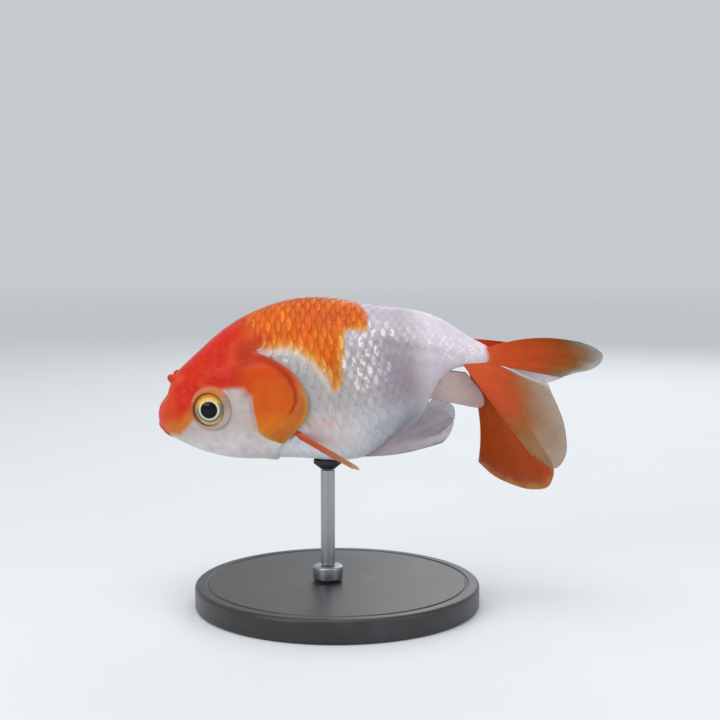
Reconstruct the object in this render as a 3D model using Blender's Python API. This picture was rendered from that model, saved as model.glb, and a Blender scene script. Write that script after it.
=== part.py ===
# A young lionhead goldfish, life size, swimming still over a plain display stand.
#
# The fish is modelled in its own frame, in millimetres: x runs from the snout to the
# tail, y to its right side, z up. An empty then carries it, nose down, over the stand.
# The part's own frame has +Z up and its origin in the middle of the stand's underside.

import math

import bpy
import numpy as np

MM = 0.001
GAP = 0.3                       # clearance between touching pieces

# How the fish hangs over the stand.
SNOUT_AT = (-38.0, 0.0, 40.2)   # the fish frame's origin, in the part's frame
NOSE_DOWN_DEG = 10.0

# Body, from the snout at x = 0 to the end of the tail base.
BODY_LENGTH = 72.4
HEAD_ENDS_AT = 26.0
TRUNK_ENDS_AT = 58.6
BODY_SIDES = 36
TAIL_ROUNDING = 3.4             # length over which the tail base rounds off
FIRST_STATION = 0.12
HEAD_STATIONS = 17
TRUNK_STATIONS = 12
TAIL_STATIONS = 8

# Lines of the body, each a few (x, value) pairs that a smooth curve joins.
BACK_LINE = ((0.0, -1.0), (0.9, 1.9), (2.7, 4.2), (5.6, 8.0), (9.3, 10.6), (16.1, 14.8),
             (24.0, 18.0), (32.5, 19.2), (42.0, 17.6), (48.3, 15.4), (57.0, 12.8), (63.5, 9.1),
             (68.3, 4.7), (72.4, 2.4))
BELLY_LINE = ((0.0, -1.0), (1.1, -3.8), (5.5, -7.4), (12.5, -10.9), (20.0, -12.7), (29.0, -14.1),
              (39.5, -16.1), (47.0, -14.7), (52.0, -12.0), (56.3, -7.8), (59.6, -3.4),
              (62.6, -1.2), (67.5, -1.1), (72.4, -1.7))
HALF_WIDTH = ((0.0, 0.0), (2.0, 4.6), (4.5, 6.6), (8.0, 8.3), (12.5, 9.6), (18.0, 10.9),
              (26.0, 12.1), (34.0, 12.6), (42.0, 12.0), (49.0, 10.0), (56.0, 7.0), (62.0, 4.2),
              (67.0, 2.7), (72.4, 2.1))
WIDEST_LEVEL = ((0.0, -1.0), (6.0, -0.6), (20.0, -0.2), (35.0, 0.0), (47.0, 1.0), (55.0, 3.0),
                (61.5, 4.3), (66.5, 2.6), (72.4, 0.6))
FULLNESS = ((0.0, 2.05), (12.0, 2.4), (30.0, 2.25), (50.0, 2.15), (72.4, 2.1))

# Eyes: flattened balls set in sockets, looking a little forward.
EYE_CENTRE = (13.35, 7.5, 0.1)
EYE_RADII = (4.3, 3.4, 4.3)
EYE_FORWARD_DEG = 11.0

# Gill covers: curved plates let into the side. The outline is given as (x, angle), where
# the angle in degrees runs round the body from the back (0) to the belly (180).
GILL_OUTLINE = ((22.6, 95.0), (21.4, 74.0), (22.8, 58.0), (26.2, 58.0), (29.6, 67.0),
                (33.1, 80.0), (34.7, 94.0), (33.2, 108.0), (29.6, 121.0), (26.4, 136.0),
                (23.6, 153.0), (21.6, 150.0), (22.2, 122.0))
GILL_MIDDLE = (27.4, 99.0)
GILL_MEAN_RADIUS = 7.0
GILL_SEGMENTS = 24
# Rings from the middle of a plate's outside over its rim to its inside: how far out each
# lies, and its height, from 1 at the outer face to -1 at the inner one.
GILL_RINGS = ((0.35, 1.0), (0.68, 1.0), (0.9, 0.9), (1.0, 0.45), (1.0, -0.6), (0.86, -1.0),
              (0.4, -1.0))
GILL_PROUD_FRONT = 0.15
GILL_PROUD_REAR = 0.85
GILL_DEPTH = 1.0

# Lips: two short rolls across the front of the snout, with the mouth between them.
LIP_HALF_WIDTH = 3.7
LIP_ROWS = 9
LIP_SIDES = 10
LIP_UPPER = dict(front=(0.82, -2.1), corner=(2.7, -4.0), radius=0.95)
LIP_LOWER = dict(front=(1.6, -3.7), corner=(3.4, -5.1), radius=0.78)

# Nostril flaps stand off the brow.
NOSTRIL_AT = (4.3, 3.7, 7.3)
NOSTRIL_RADII = (0.5, 0.75, 1.05)

# Fins: root points and tip points in the fish frame for the left side (y < 0), from the
# leading ray to the last one; sheets are thicker at the root. Bow is how far the first and
# the last ray stand off a straight line at half their length.
FIN_EDGE = 0.6
FINS = {
    "pectoral_fin_left": dict(
        root=((30.4, -10.1, -7.5), (29.9, -9.3, -8.4)),
        tips=((41.5, -18.2, -14.5), (42.0, -16.5, -15.8), (41.0, -14.2, -16.1),
              (38.8, -12.0, -15.2)),
        thick=1.1, bow=((0.0, 0.0, 0.25), (0.0, 0.0, -0.25))),
    "pelvic_fin_left": dict(
        root=((41.0, -3.0, -15.3), (44.6, -3.2, -13.6)),
        tips=((57.4, -7.4, -14.9), (60.6, -7.8, -12.9), (61.4, -8.0, -9.4),
              (57.4, -8.2, -7.2)),
        thick=1.0, bow=((0.0, -1.9, -0.4), (0.0, -1.9, -0.4))),
    "anal_fin_left": dict(
        root=((57.0, -0.85, -6.0), (61.2, -0.85, -1.2)),
        tips=((66.2, -1.2, -9.4), (68.0, -1.25, -9.2), (68.0, -1.2, -6.6), (66.6, -1.1, -3.9),
              (65.4, -1.0, -2.2)),
        thick=0.9, bow=((0.3, 0.0, -0.1), (0.0, 0.0, 0.0))),
    "tail_upper_left": dict(
        root=((68.8, -0.95, 2.4), (70.6, -0.95, -0.2)),
        tips=((89.2, -4.4, 1.0), (92.7, -5.0, -1.2), (93.4, -5.3, -3.0), (91.6, -5.4, -4.6),
              (88.0, -5.4, -5.2), (84.4, -5.2, -5.5)),
        thick=1.1, bow=((0.0, 0.3, 1.5), (0.0, 0.3, -0.15))),
    "tail_lower_left": dict(
        root=((65.2, -1.1, -0.1), (69.8, -0.95, -0.9)),
        tips=((76.2, -11.2, -19.2), (79.9, -13.6, -22.3), (82.8, -13.4, -19.6),
              (83.5, -11.2, -14.0), (82.2, -7.4, -8.6), (81.6, -4.4, -6.3)),
        thick=1.1, bow=((-0.2, 0.9, -0.3), (0.0, 0.3, -0.1))),
    "tail_upper_right": dict(
        root=((67.4, 0.95, 4.2), (70.2, 0.95, 0.1)),
        tips=((82.0, 5.2, -0.2), (87.6, 8.0, -2.4), (88.4, 8.4, -5.4), (85.2, 7.2, -7.1),
              (80.9, 5.6, -7.7)),
        thick=1.1, bow=((0.0, -0.3, 0.6), (0.0, -0.3, 0.3))),
    "tail_lower_right": dict(
        root=((64.8, 1.1, -0.2), (69.4, 0.95, -0.6)),
        tips=((64.4, 12.4, -23.3), (68.4, 13.4, -27.8), (74.2, 13.6, -31.2), (78.2, 13.4, -31.4),
              (80.0, 13.0, -28.8), (80.3, 12.4, -25.6), (78.1, 11.0, -22.6)),
        thick=1.1, bow=((1.4, -0.8, 0.0), (0.0, -0.8, 0.0))),
}
MIRRORED_FINS = ("pectoral_fin_left", "pelvic_fin_left", "anal_fin_left")
FAR_PECTORAL_LIFT = 2.4         # the right pectoral is held a little higher
FIN_RIBS = 9
FIN_STEPS = 7

# Stand, in the part's frame.
BASE_RADIUS = 30.0
BASE_HEIGHT = 5.0
BASE_BEVEL = 0.8
ROD_RADIUS = 1.5
ROD_X = -2.0
COLLAR_RADIUS = 3.2
COLLAR_HEIGHT = 3.0
PAD_RADIUS = 3.0
PAD_FOOT = 29.0
PAD_FLARE = 1.2                 # height over which the pad widens from the rod
PAD_TOP = 34.0                  # reaches into the belly, and the belly trims it

RED = (0.72, 0.05, 0.02)
ORANGE = (0.72, 0.16, 0.02)
WHITE = (0.62, 0.56, 0.56)
TAIL_ORANGE = (0.60, 0.12, 0.02)
CLEAR_FIN = (0.45, 0.33, 0.28)


def clear_scene():
    for item in list(bpy.data.objects):
        bpy.data.objects.remove(item, do_unlink=True)


def material(name, colour, roughness=0.4, metallic=0.0):
    made = bpy.data.materials.new(name)
    made.use_nodes = True
    shader = made.node_tree.nodes["Principled BSDF"]
    shader.inputs["Base Color"].default_value = (*colour, 1.0)
    shader.inputs["Roughness"].default_value = roughness
    shader.inputs["Metallic"].default_value = metallic
    return made


def smooth_curve(knots, values, at):
    # Natural cubic spline through the values at the knots, read at the given places.
    knots = np.asarray(knots, float)
    values = np.asarray(values, float)
    step = np.diff(knots)
    slope = np.diff(values, axis=0) / (step if values.ndim == 1 else step[:, None])
    system = np.eye(len(knots))
    right = np.zeros_like(values)
    for i in range(1, len(knots) - 1):
        system[i, i - 1:i + 2] = (step[i - 1], 2 * (step[i - 1] + step[i]), step[i])
        right[i] = 6 * (slope[i] - slope[i - 1])
    bend = np.linalg.solve(system, right)
    i = np.clip(np.searchsorted(knots, at, side="right") - 1, 0, len(knots) - 2)
    h = step[i]
    u = (at - knots[i]) / h
    if values.ndim > 1:
        h = h[..., None]
        u = u[..., None]
    rise = (1 - u) * values[i] + u * values[i + 1]
    arch = ((1 - u) ** 3 - (1 - u)) * bend[i] + (u ** 3 - u) * bend[i + 1]
    return rise + arch * h * h / 6


def body_line(pairs, x):
    # The curve runs over the root of x, which gives the snout its blunt, round front.
    table = np.array(pairs)
    root = np.sqrt(table[:, 0] / BODY_LENGTH)
    return smooth_curve(root, table[:, 1], np.sqrt(np.clip(x, 0.0, None) / BODY_LENGTH))


def body_point(x, angle):
    # A point of the body's surface: a superellipse ring at x, read at the given angle.
    x = np.asarray(x, float)
    level = body_line(WIDEST_LEVEL, x)
    power = 2.0 / body_line(FULLNESS, x)
    past = np.clip((x - BODY_LENGTH + TAIL_ROUNDING) / TAIL_ROUNDING, 0.0, 1.0)
    taper = np.sqrt(1.0 - past ** 2)
    up = body_line(BACK_LINE, x) - level
    down = level - body_line(BELLY_LINE, x)
    rise = np.cos(angle)
    out = np.sin(angle)
    reach = np.where(rise > 0, up, down) * taper
    y = body_line(HALF_WIDTH, x) * taper * np.sign(out) * np.abs(out) ** power
    z = level + reach * np.sign(rise) * np.abs(rise) ** power
    return np.stack(np.broadcast_arrays(x, y, z), axis=-1)


def body_normal(x, angle):
    nudge_x = 0.02
    nudge_angle = 0.004
    along = body_point(x + nudge_x, angle) - body_point(x - nudge_x, angle)
    around = body_point(x, angle + nudge_angle) - body_point(x, angle - nudge_angle)
    normal = np.cross(along, around)
    return normal / np.linalg.norm(normal, axis=-1, keepdims=True)


def body_shell(x, angle, proud):
    return body_point(x, angle) + body_normal(x, angle) * np.asarray(proud)[..., None]


def make_object(name, points, faces, look, parent=None, smooth=True):
    mesh = bpy.data.meshes.new(name)
    mesh.from_pydata([tuple(p) for p in np.asarray(points) * MM], [], faces)
    mesh.validate()
    if smooth:
        mesh.shade_smooth()
        mesh.set_sharp_from_angle(angle=math.radians(50.0))
    if look:
        mesh.materials.append(look)
    made = bpy.data.objects.new(name, mesh)
    bpy.context.collection.objects.link(made)
    made.parent = parent
    return made


def as_cutter(item):
    item.hide_render = True
    item.display_type = "WIRE"
    return item


def cut(item, cutters):
    for cutter in cutters:
        modifier = item.modifiers.new("cut_" + cutter.name, "BOOLEAN")
        modifier.operation = "DIFFERENCE"
        modifier.solver = "EXACT"
        modifier.object = cutter


def ring_faces(rings, sides, closed_start, closed_end):
    # Quads between rings of points, with a flat cap wherever an end isn't a single point.
    faces = []
    for i in range(rings - 1):
        for j in range(sides):
            k = (j + 1) % sides
            faces.append((i * sides + j, i * sides + k, (i + 1) * sides + k, (i + 1) * sides + j))
    if closed_start:
        faces.append(tuple(reversed(range(sides))))
    if closed_end:
        faces.append(tuple(range((rings - 1) * sides, rings * sides)))
    return faces


def with_poles(points, faces, first, last, rings, sides):
    # Closes open ends of a ring mesh with a fan round a pole point.
    points = list(points)
    if first is not None:
        points.append(first)
        pole = len(points) - 1
        faces += [(pole, (j + 1) % sides, j) for j in range(sides)]
    if last is not None:
        points.append(last)
        pole = len(points) - 1
        start = (rings - 1) * sides
        faces += [(pole, start + j, start + (j + 1) % sides) for j in range(sides)]
    return np.array(points), faces


def body_length_stations(start, end, count):
    # Stations spaced evenly over the root of x, so that they crowd towards the snout.
    low = math.sqrt(start / BODY_LENGTH)
    high = math.sqrt(end / BODY_LENGTH)
    return BODY_LENGTH * np.linspace(low, high, count) ** 2


def body_piece(name, stations, look, parent, proud=0.0, snout=False, tail=False):
    angles = np.linspace(0.0, 2 * math.pi, BODY_SIDES, endpoint=False)
    x, angle = np.meshgrid(stations, angles, indexing="ij")
    if proud:
        points = body_shell(x, angle, np.full(x.shape, proud))
    else:
        points = body_point(x, angle)
    faces = ring_faces(len(stations), BODY_SIDES, not snout, not tail)
    first = None
    last = None
    if snout:
        first = (-proud, 0.0, BACK_LINE[0][1])
    if tail:
        tail_level = body_line(WIDEST_LEVEL, np.array(BODY_LENGTH))
        last = (BODY_LENGTH + proud, 0.0, float(tail_level))
    points, faces = with_poles(points.reshape(-1, 3), faces, first, last,
                               len(stations), BODY_SIDES)
    return make_object(name, points, faces, look, parent)


def tail_stations(start, count):
    # Stations that crowd towards the rounded end of the tail base.
    turn = np.linspace(0.0, 0.5 * math.pi, count + 1)[:-1]
    return start + (BODY_LENGTH - start) * np.sin(turn)


def gill_plate(name, side, grow, look, parent):
    # A rounded plate: rings of the closed outline shrink to its middle, outside and inside.
    outline = np.array(GILL_OUTLINE + GILL_OUTLINE[:1])
    turn = smooth_curve(np.linspace(0.0, 1.0, len(outline)), outline,
                        np.linspace(0.0, 1.0, GILL_SEGMENTS, endpoint=False))
    middle = np.array(GILL_MIDDLE)
    stretch = 1.0 + grow / GILL_MEAN_RADIUS
    front = outline[:, 0].min()
    length = outline[:, 0].max() - front
    rings = []
    for share, height in GILL_RINGS:
        flat = middle + (turn - middle) * share * stretch
        x = flat[:, 0]
        rise = GILL_PROUD_FRONT + (GILL_PROUD_REAR - GILL_PROUD_FRONT) * (x - front) / length
        if height > 0:
            proud = rise * height + grow
        else:
            proud = GILL_DEPTH * height - grow
        proud = np.broadcast_to(proud, x.shape)
        rings.append(body_shell(x, side * np.radians(flat[:, 1]), proud))
    points = np.concatenate(rings)
    mid_angle = np.array(side * math.radians(middle[1]))
    mid_rise = 0.5 * (GILL_PROUD_FRONT + GILL_PROUD_REAR)
    top = body_shell(np.array(middle[0]), mid_angle, np.array(mid_rise + grow))
    under = body_shell(np.array(middle[0]), mid_angle, np.array(-GILL_DEPTH - grow))
    faces = ring_faces(len(GILL_RINGS), GILL_SEGMENTS, False, False)
    points, faces = with_poles(points, faces, top, under, len(GILL_RINGS), GILL_SEGMENTS)
    return make_object(name, points, faces, look, parent)


def ball(name, centre, radii, turn_deg, look, parent, grow=0.0, around=18, rows=9):
    # A flattened ball with its poles on its y axis, turned about z.
    rings = []
    for i in range(1, rows):
        tilt = math.pi * i / rows
        for j in range(around):
            spin = 2 * math.pi * j / around
            rings.append((math.sin(tilt) * math.cos(spin), math.cos(tilt),
                          math.sin(tilt) * math.sin(spin)))
    faces = ring_faces(rows - 1, around, False, False)
    points, faces = with_poles(rings, faces, (0, 1, 0), (0, -1, 0), rows - 1, around)
    points = points * (np.array(radii) + grow)
    turn = math.radians(turn_deg)
    x = points[:, 0] * math.cos(turn) - points[:, 1] * math.sin(turn)
    y = points[:, 0] * math.sin(turn) + points[:, 1] * math.cos(turn)
    points = np.stack([x, y, points[:, 2]], axis=1) + np.array(centre)
    return make_object(name, points, faces, look, parent)


def lip(name, front, corner, radius, look, parent, grow=0.0):
    # A roll whose centre line bends back from the front of the mouth to both corners.
    turn = np.linspace(-1.0, 1.0, LIP_ROWS + 2)[1:-1]
    reach = LIP_HALF_WIDTH + grow
    bend = turn ** 2
    centre = np.stack([front[0] + (corner[0] - front[0]) * bend, reach * turn,
                       front[1] + (corner[1] - front[1]) * bend], axis=1)
    thick = (radius + grow) * np.sqrt(1.0 - turn ** 4)
    along = np.gradient(centre, axis=0)
    along /= np.linalg.norm(along, axis=1, keepdims=True)
    upward = np.cross(along, (-1.0, 0.0, 0.0))
    upward /= np.linalg.norm(upward, axis=1, keepdims=True)
    outward = np.cross(upward, along)
    points = []
    for j in range(LIP_SIDES):
        spin = 2 * math.pi * j / LIP_SIDES
        direction = math.cos(spin) * outward + math.sin(spin) * upward
        points.append(centre + direction * thick[:, None])
    points = np.stack(points, axis=1).reshape(-1, 3)
    ends = [(corner[0], side * reach, corner[1]) for side in (-1, 1)]
    faces = ring_faces(LIP_ROWS, LIP_SIDES, False, False)
    points, faces = with_poles(points, faces, ends[0], ends[1], LIP_ROWS, LIP_SIDES)
    return make_object(name, points, faces, look, parent)


def fin(name, root, tips, thick, bow, look, parent):
    # A fan of rays from the root line to the tip line, as a sheet that thins outwards.
    across = np.linspace(0.0, 1.0, FIN_RIBS)
    root_line = smooth_curve(np.linspace(0.0, 1.0, len(root)), root, across)
    tip_line = smooth_curve(np.linspace(0.0, 1.0, len(tips)), tips, across)
    along = np.linspace(0.0, 1.0, FIN_STEPS)
    share = along[None, :, None]
    middle = root_line[:, None, :] * (1 - share) + tip_line[:, None, :] * share
    lean = across[:, None]
    bulge = np.array(bow[0]) * (1 - lean) + np.array(bow[1]) * lean
    middle = middle + bulge[:, None, :] * (4 * share * (1 - share))
    normal = np.cross(np.gradient(middle, axis=0), np.gradient(middle, axis=1))
    normal /= np.linalg.norm(normal, axis=2, keepdims=True)
    half = 0.5 * (thick + (FIN_EDGE - thick) * along)[None, :, None]
    front = (middle + normal * half).reshape(-1, 3)
    back = (middle - normal * half).reshape(-1, 3)
    count = FIN_RIBS * FIN_STEPS
    faces = []
    for i in range(FIN_RIBS - 1):
        for j in range(FIN_STEPS - 1):
            a = i * FIN_STEPS + j
            b = a + FIN_STEPS
            faces.append((a, b, b + 1, a + 1))
            faces.append((count + a, count + a + 1, count + b + 1, count + b))
    rim = [i * FIN_STEPS for i in range(FIN_RIBS)]
    rim += [(FIN_RIBS - 1) * FIN_STEPS + j for j in range(1, FIN_STEPS)]
    rim += [i * FIN_STEPS + FIN_STEPS - 1 for i in range(FIN_RIBS - 2, -1, -1)]
    rim += list(range(FIN_STEPS - 2, 0, -1))
    for a, b in zip(rim, rim[1:] + rim[:1]):
        faces.append((b, a, count + a, count + b))
    return make_object(name, np.concatenate([front, back]), faces, look, parent)


def mirrored(points):
    return tuple((x, -y, z) for x, y, z in points)


def turned(name, profile, look, centre_x=0.0, sides=24):
    # A solid of revolution about a vertical line, from (radius, height) points upwards.
    rings = []
    for radius, height in profile:
        for j in range(sides):
            spin = 2 * math.pi * j / sides
            rings.append((centre_x + radius * math.cos(spin), radius * math.sin(spin), height))
    faces = ring_faces(len(profile), sides, True, True)
    return make_object(name, rings, faces, look)


def facing_out(item):
    # Turns a closed mesh's faces over if they enclose a negative volume.
    mesh = item.data
    mesh.calc_loop_triangles()
    corners = np.array([[mesh.vertices[v].co[:] for v in t.vertices] for t in mesh.loop_triangles])
    volume = np.einsum("ij,ij->i", corners[:, 0], np.cross(corners[:, 1], corners[:, 2])).sum()
    if volume < 0:
        mesh.flip_normals()
    return item


def build_body(pose):
    red = material("red_skin", RED)
    white = material("white_skin", WHITE)
    head_stations = body_length_stations(FIRST_STATION, HEAD_ENDS_AT, HEAD_STATIONS)
    trunk_stations = np.linspace(HEAD_ENDS_AT + GAP, TRUNK_ENDS_AT, TRUNK_STATIONS)
    end_stations = tail_stations(TRUNK_ENDS_AT + GAP, TAIL_STATIONS)
    head = body_piece("head", head_stations, red, pose, snout=True)
    trunk = body_piece("trunk", trunk_stations, white, pose)
    tail_base = body_piece("tail_base", end_stations, white, pose, tail=True)
    grown_stations = np.concatenate([head_stations, trunk_stations, end_stations])
    grown = as_cutter(body_piece("body_grown", grown_stations, None, pose, GAP, True, True))
    for item in (head, trunk, tail_base, grown):
        facing_out(item)
    return head, trunk, grown


def build_gill_covers(pose, head, trunk):
    look = material("gill_cover_orange", ORANGE, 0.35)
    for name, side in (("left", -1), ("right", 1)):
        facing_out(gill_plate("gill_cover_" + name, side, 0.0, look, pose))
        pocket = facing_out(gill_plate("gill_pocket_" + name, side, GAP, None, pose))
        cut(head, [as_cutter(pocket)])
        cut(trunk, [pocket])


def build_eyes(pose, head):
    look = material("eye_gold", (0.55, 0.35, 0.08), 0.15)
    x, y, z = EYE_CENTRE
    for name, side in (("left", -1), ("right", 1)):
        centre = (x, side * y, z)
        turn = side * EYE_FORWARD_DEG
        facing_out(ball("eye_" + name, centre, EYE_RADII, turn, look, pose))
        socket = ball("eye_socket_" + name, centre, EYE_RADII, turn, None, pose, GAP)
        cut(head, [as_cutter(facing_out(socket))])


def build_mouth(pose, head):
    look = material("lip_orange", (0.75, 0.20, 0.06))
    facing_out(lip("upper_lip", **LIP_UPPER, look=look, parent=pose))
    lower = facing_out(lip("lower_lip", **LIP_LOWER, look=look, parent=pose))
    upper_bed = facing_out(lip("upper_lip_bed", **LIP_UPPER, look=None, parent=pose, grow=GAP))
    lower_bed = facing_out(lip("lower_lip_bed", **LIP_LOWER, look=None, parent=pose, grow=GAP))
    cut(head, [as_cutter(upper_bed), as_cutter(lower_bed)])
    cut(lower, [upper_bed])


def build_nostrils(pose, grown):
    look = material("nostril_red", (0.55, 0.03, 0.02))
    x, y, z = NOSTRIL_AT
    for name, side in (("left", -1), ("right", 1)):
        flap = ball("nostril_" + name, (x, side * y, z), NOSTRIL_RADII, 0.0, look, pose,
                    around=10, rows=6)
        cut(facing_out(flap), [grown])


def build_fins(pose, grown):
    orange = material("fin_orange", TAIL_ORANGE, 0.45)
    clear = material("fin_clear", CLEAR_FIN, 0.45)
    shapes = dict(FINS)
    for name in MIRRORED_FINS:
        shape = dict(FINS[name])
        shape["root"] = mirrored(shape["root"])
        shape["tips"] = mirrored(shape["tips"])
        shape["bow"] = mirrored(shape["bow"])
        if name.startswith("pectoral"):
            shape["tips"] = tuple((x, y, z + FAR_PECTORAL_LIFT) for x, y, z in shape["tips"])
        shapes[name.replace("left", "right")] = shape
    for name, shape in shapes.items():
        look = clear if name.startswith(("pelvic", "anal")) else orange
        made = facing_out(fin(name, look=look, parent=pose, **shape))
        cut(made, [grown])


def build_stand(grown):
    black = material("stand_black", (0.03, 0.03, 0.03), 0.45)
    steel = material("stand_steel", (0.55, 0.55, 0.56), 0.3, 1.0)
    rim = BASE_RADIUS - BASE_BEVEL
    turned("stand_base", ((rim, 0.0), (BASE_RADIUS, BASE_BEVEL),
                          (BASE_RADIUS, BASE_HEIGHT - BASE_BEVEL), (rim, BASE_HEIGHT)),
           black, sides=48)
    collar_foot = BASE_HEIGHT + GAP
    turned("stand_collar", ((COLLAR_RADIUS, collar_foot),
                            (COLLAR_RADIUS, collar_foot + COLLAR_HEIGHT - BASE_BEVEL),
                            (COLLAR_RADIUS - BASE_BEVEL, collar_foot + COLLAR_HEIGHT)),
           steel, ROD_X)
    rod_foot = collar_foot + COLLAR_HEIGHT + GAP
    turned("stand_rod", ((ROD_RADIUS, rod_foot), (ROD_RADIUS, PAD_FOOT - GAP)), steel, ROD_X,
           sides=16)
    pad = turned("stand_pad", ((ROD_RADIUS, PAD_FOOT), (PAD_RADIUS, PAD_FOOT + PAD_FLARE),
                               (PAD_RADIUS, PAD_TOP)), black, ROD_X)
    cut(pad, [grown])


def main():
    clear_scene()
    pose = bpy.data.objects.new("fish_pose", None)
    bpy.context.collection.objects.link(pose)
    pose.location = [value * MM for value in SNOUT_AT]
    pose.rotation_euler = (0.0, -math.radians(NOSE_DOWN_DEG), 0.0)
    head, trunk, grown = build_body(pose)
    build_gill_covers(pose, head, trunk)
    build_eyes(pose, head)
    build_mouth(pose, head)
    build_nostrils(pose, grown)
    build_fins(pose, grown)
    build_stand(grown)


main()
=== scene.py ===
# The looks of a life-size young lionhead goldfish on its display stand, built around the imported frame.
import math

import bpy
import numpy as np
from mathutils import Matrix, Vector


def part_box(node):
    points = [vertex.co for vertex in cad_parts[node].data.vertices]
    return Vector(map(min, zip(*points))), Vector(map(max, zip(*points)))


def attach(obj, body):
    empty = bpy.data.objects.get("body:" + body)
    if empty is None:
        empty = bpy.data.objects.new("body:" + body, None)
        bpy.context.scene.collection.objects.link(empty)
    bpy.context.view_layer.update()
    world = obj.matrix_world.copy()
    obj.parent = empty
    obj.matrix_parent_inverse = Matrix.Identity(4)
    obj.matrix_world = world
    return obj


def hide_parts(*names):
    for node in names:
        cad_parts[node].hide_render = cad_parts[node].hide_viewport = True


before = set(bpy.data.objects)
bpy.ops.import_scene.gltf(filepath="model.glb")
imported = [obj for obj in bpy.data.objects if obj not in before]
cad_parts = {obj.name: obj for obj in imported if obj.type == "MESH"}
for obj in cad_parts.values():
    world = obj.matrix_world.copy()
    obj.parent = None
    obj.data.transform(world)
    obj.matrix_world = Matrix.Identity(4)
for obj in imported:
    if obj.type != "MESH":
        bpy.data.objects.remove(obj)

print("frame loaded:", len(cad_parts), "nodes")
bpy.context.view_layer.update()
mm = 0.001

# places: everything on the fish is worked out in its own frame, in millimetres:
# x from the snout to the tail, y to its right, z up, then tilted nose down over the stand
fishPose = {"noseDownDeg": 10.0, "leftEye": (13.35, -7.5, 0.1)}

tilt = math.radians(fishPose["noseDownDeg"])
tiltMatrix = np.array([[math.cos(tilt), 0.0, -math.sin(tilt)],
                       [0.0, 1.0, 0.0],
                       [math.sin(tilt), 0.0, math.cos(tilt)]])
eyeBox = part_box("eye_left")
fishOrigin = np.array((eyeBox[0] + eyeBox[1]) / 2) - tiltMatrix @ np.array(fishPose["leftEye"]) * mm


def toFrame(points):
    # turns fish-frame millimetres into the frame's metres: one turn about y, then a shift
    return np.asarray(points) @ tiltMatrix.T * mm + fishOrigin


def linear(colour):
    # an sRGB colour in 0 to 255 as linear light: ((c + 0.055) / 1.055) to the power 2.4
    share = np.asarray(colour, float) / 255.0
    return np.where(share > 0.04045, ((share + 0.055) / 1.055) ** 2.4, share / 12.92)


def ease(low, high, value):
    # 0 before low, 1 after high, and 3t^2 - 2t^3 in between; low may be above high
    t = np.clip((value - low) / (high - low), 0.0, 1.0)
    return t * t * (3 - 2 * t)


def bell(value, middle, width):
    # exp(-((value - middle) / width)^2)
    return np.exp(-(((value - middle) / width) ** 2))


def blend(base, colour, amount):
    # base moved towards colour by amount, an array; base is one colour or an array of them
    share = np.asarray(amount)[..., None]
    return base * (1 - share) + np.asarray(colour) * share


def softNoise(points, cell, seed):
    # random values on the corners of cubic cells, eased between the eight corners, from -1 to 1
    scaled = np.asarray(points, float) / cell + 31.7 * seed
    low = np.floor(scaled).astype(np.int64)
    part = scaled - low
    part = part * part * (3 - 2 * part)
    total = np.zeros(scaled.shape[:-1])
    for corner in range(8):
        step = np.array([corner & 1, corner >> 1 & 1, corner >> 2 & 1])
        at = low + step
        key = at[..., 0] * 73856093 ^ at[..., 1] * 19349663 ^ at[..., 2] * 83492791
        key = (key ^ key >> 13) * 1274126177 & 0x7FFFFFFF
        weight = np.prod(np.where(step == 1, part, 1 - part), axis=-1)
        total += weight * ((key ^ key >> 16) % 65536 / 32768.0 - 1.0)
    return total


def smoothCurve(knots, values, at):
    # natural cubic spline through values at the knots
    knots, values = np.asarray(knots, float), np.asarray(values, float)
    step = np.diff(knots)
    slope = np.diff(values, axis=0) / (step if values.ndim == 1 else step[:, None])
    system, right = np.eye(len(knots)), np.zeros_like(values)
    for i in range(1, len(knots) - 1):
        system[i, i - 1:i + 2] = (step[i - 1], 2 * (step[i - 1] + step[i]), step[i])
        right[i] = 6 * (slope[i] - slope[i - 1])
    bend = np.linalg.solve(system, right)
    i = np.clip(np.searchsorted(knots, at, side="right") - 1, 0, len(knots) - 2)
    h = step[i]
    u = (at - knots[i]) / h
    if values.ndim > 1:
        h, u = h[..., None], u[..., None]
    rise = (1 - u) * values[i] + u * values[i + 1]
    return rise + (((1 - u) ** 3 - (1 - u)) * bend[i] + (u ** 3 - u) * bend[i + 1]) * h * h / 6


# body: the same surface as the frame's solids
body = {
    "length": 72.4,
    "tailRounding": 3.4,
    "backLine": (
        (0.0, -1.0), (0.9, 1.9), (2.7, 4.2), (5.6, 8.0), (9.3, 10.6), (16.1, 14.8), (24.0, 18.0),
        (32.5, 19.2), (42.0, 17.6), (48.3, 15.4), (57.0, 12.8), (63.5, 9.1), (68.3, 4.7),
        (72.4, 2.4)),
    "bellyLine": (
        (0.0, -1.0), (1.1, -3.8), (5.5, -7.4), (12.5, -10.9), (20.0, -12.7), (29.0, -14.1),
        (39.5, -16.1), (47.0, -14.7), (52.0, -12.0), (56.3, -7.8), (59.6, -3.4), (62.6, -1.2),
        (67.5, -1.1), (72.4, -1.7)),
    "halfWidth": (
        (0.0, 0.0), (2.0, 4.6), (4.5, 6.6), (8.0, 8.3), (12.5, 9.6), (18.0, 10.9), (26.0, 12.1),
        (34.0, 12.6), (42.0, 12.0), (49.0, 10.0), (56.0, 7.0), (62.0, 4.2), (67.0, 2.7), (72.4, 2.1)),
    "widestLevel": (
        (0.0, -1.0), (6.0, -0.6), (20.0, -0.2), (35.0, 0.0), (47.0, 1.0), (55.0, 3.0), (61.5, 4.3),
        (66.5, 2.6), (72.4, 0.6)),
    "fullness": ((0.0, 2.05), (12.0, 2.4), (30.0, 2.25), (50.0, 2.15), (72.4, 2.1)),
}
bodyLength = body["length"]


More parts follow.
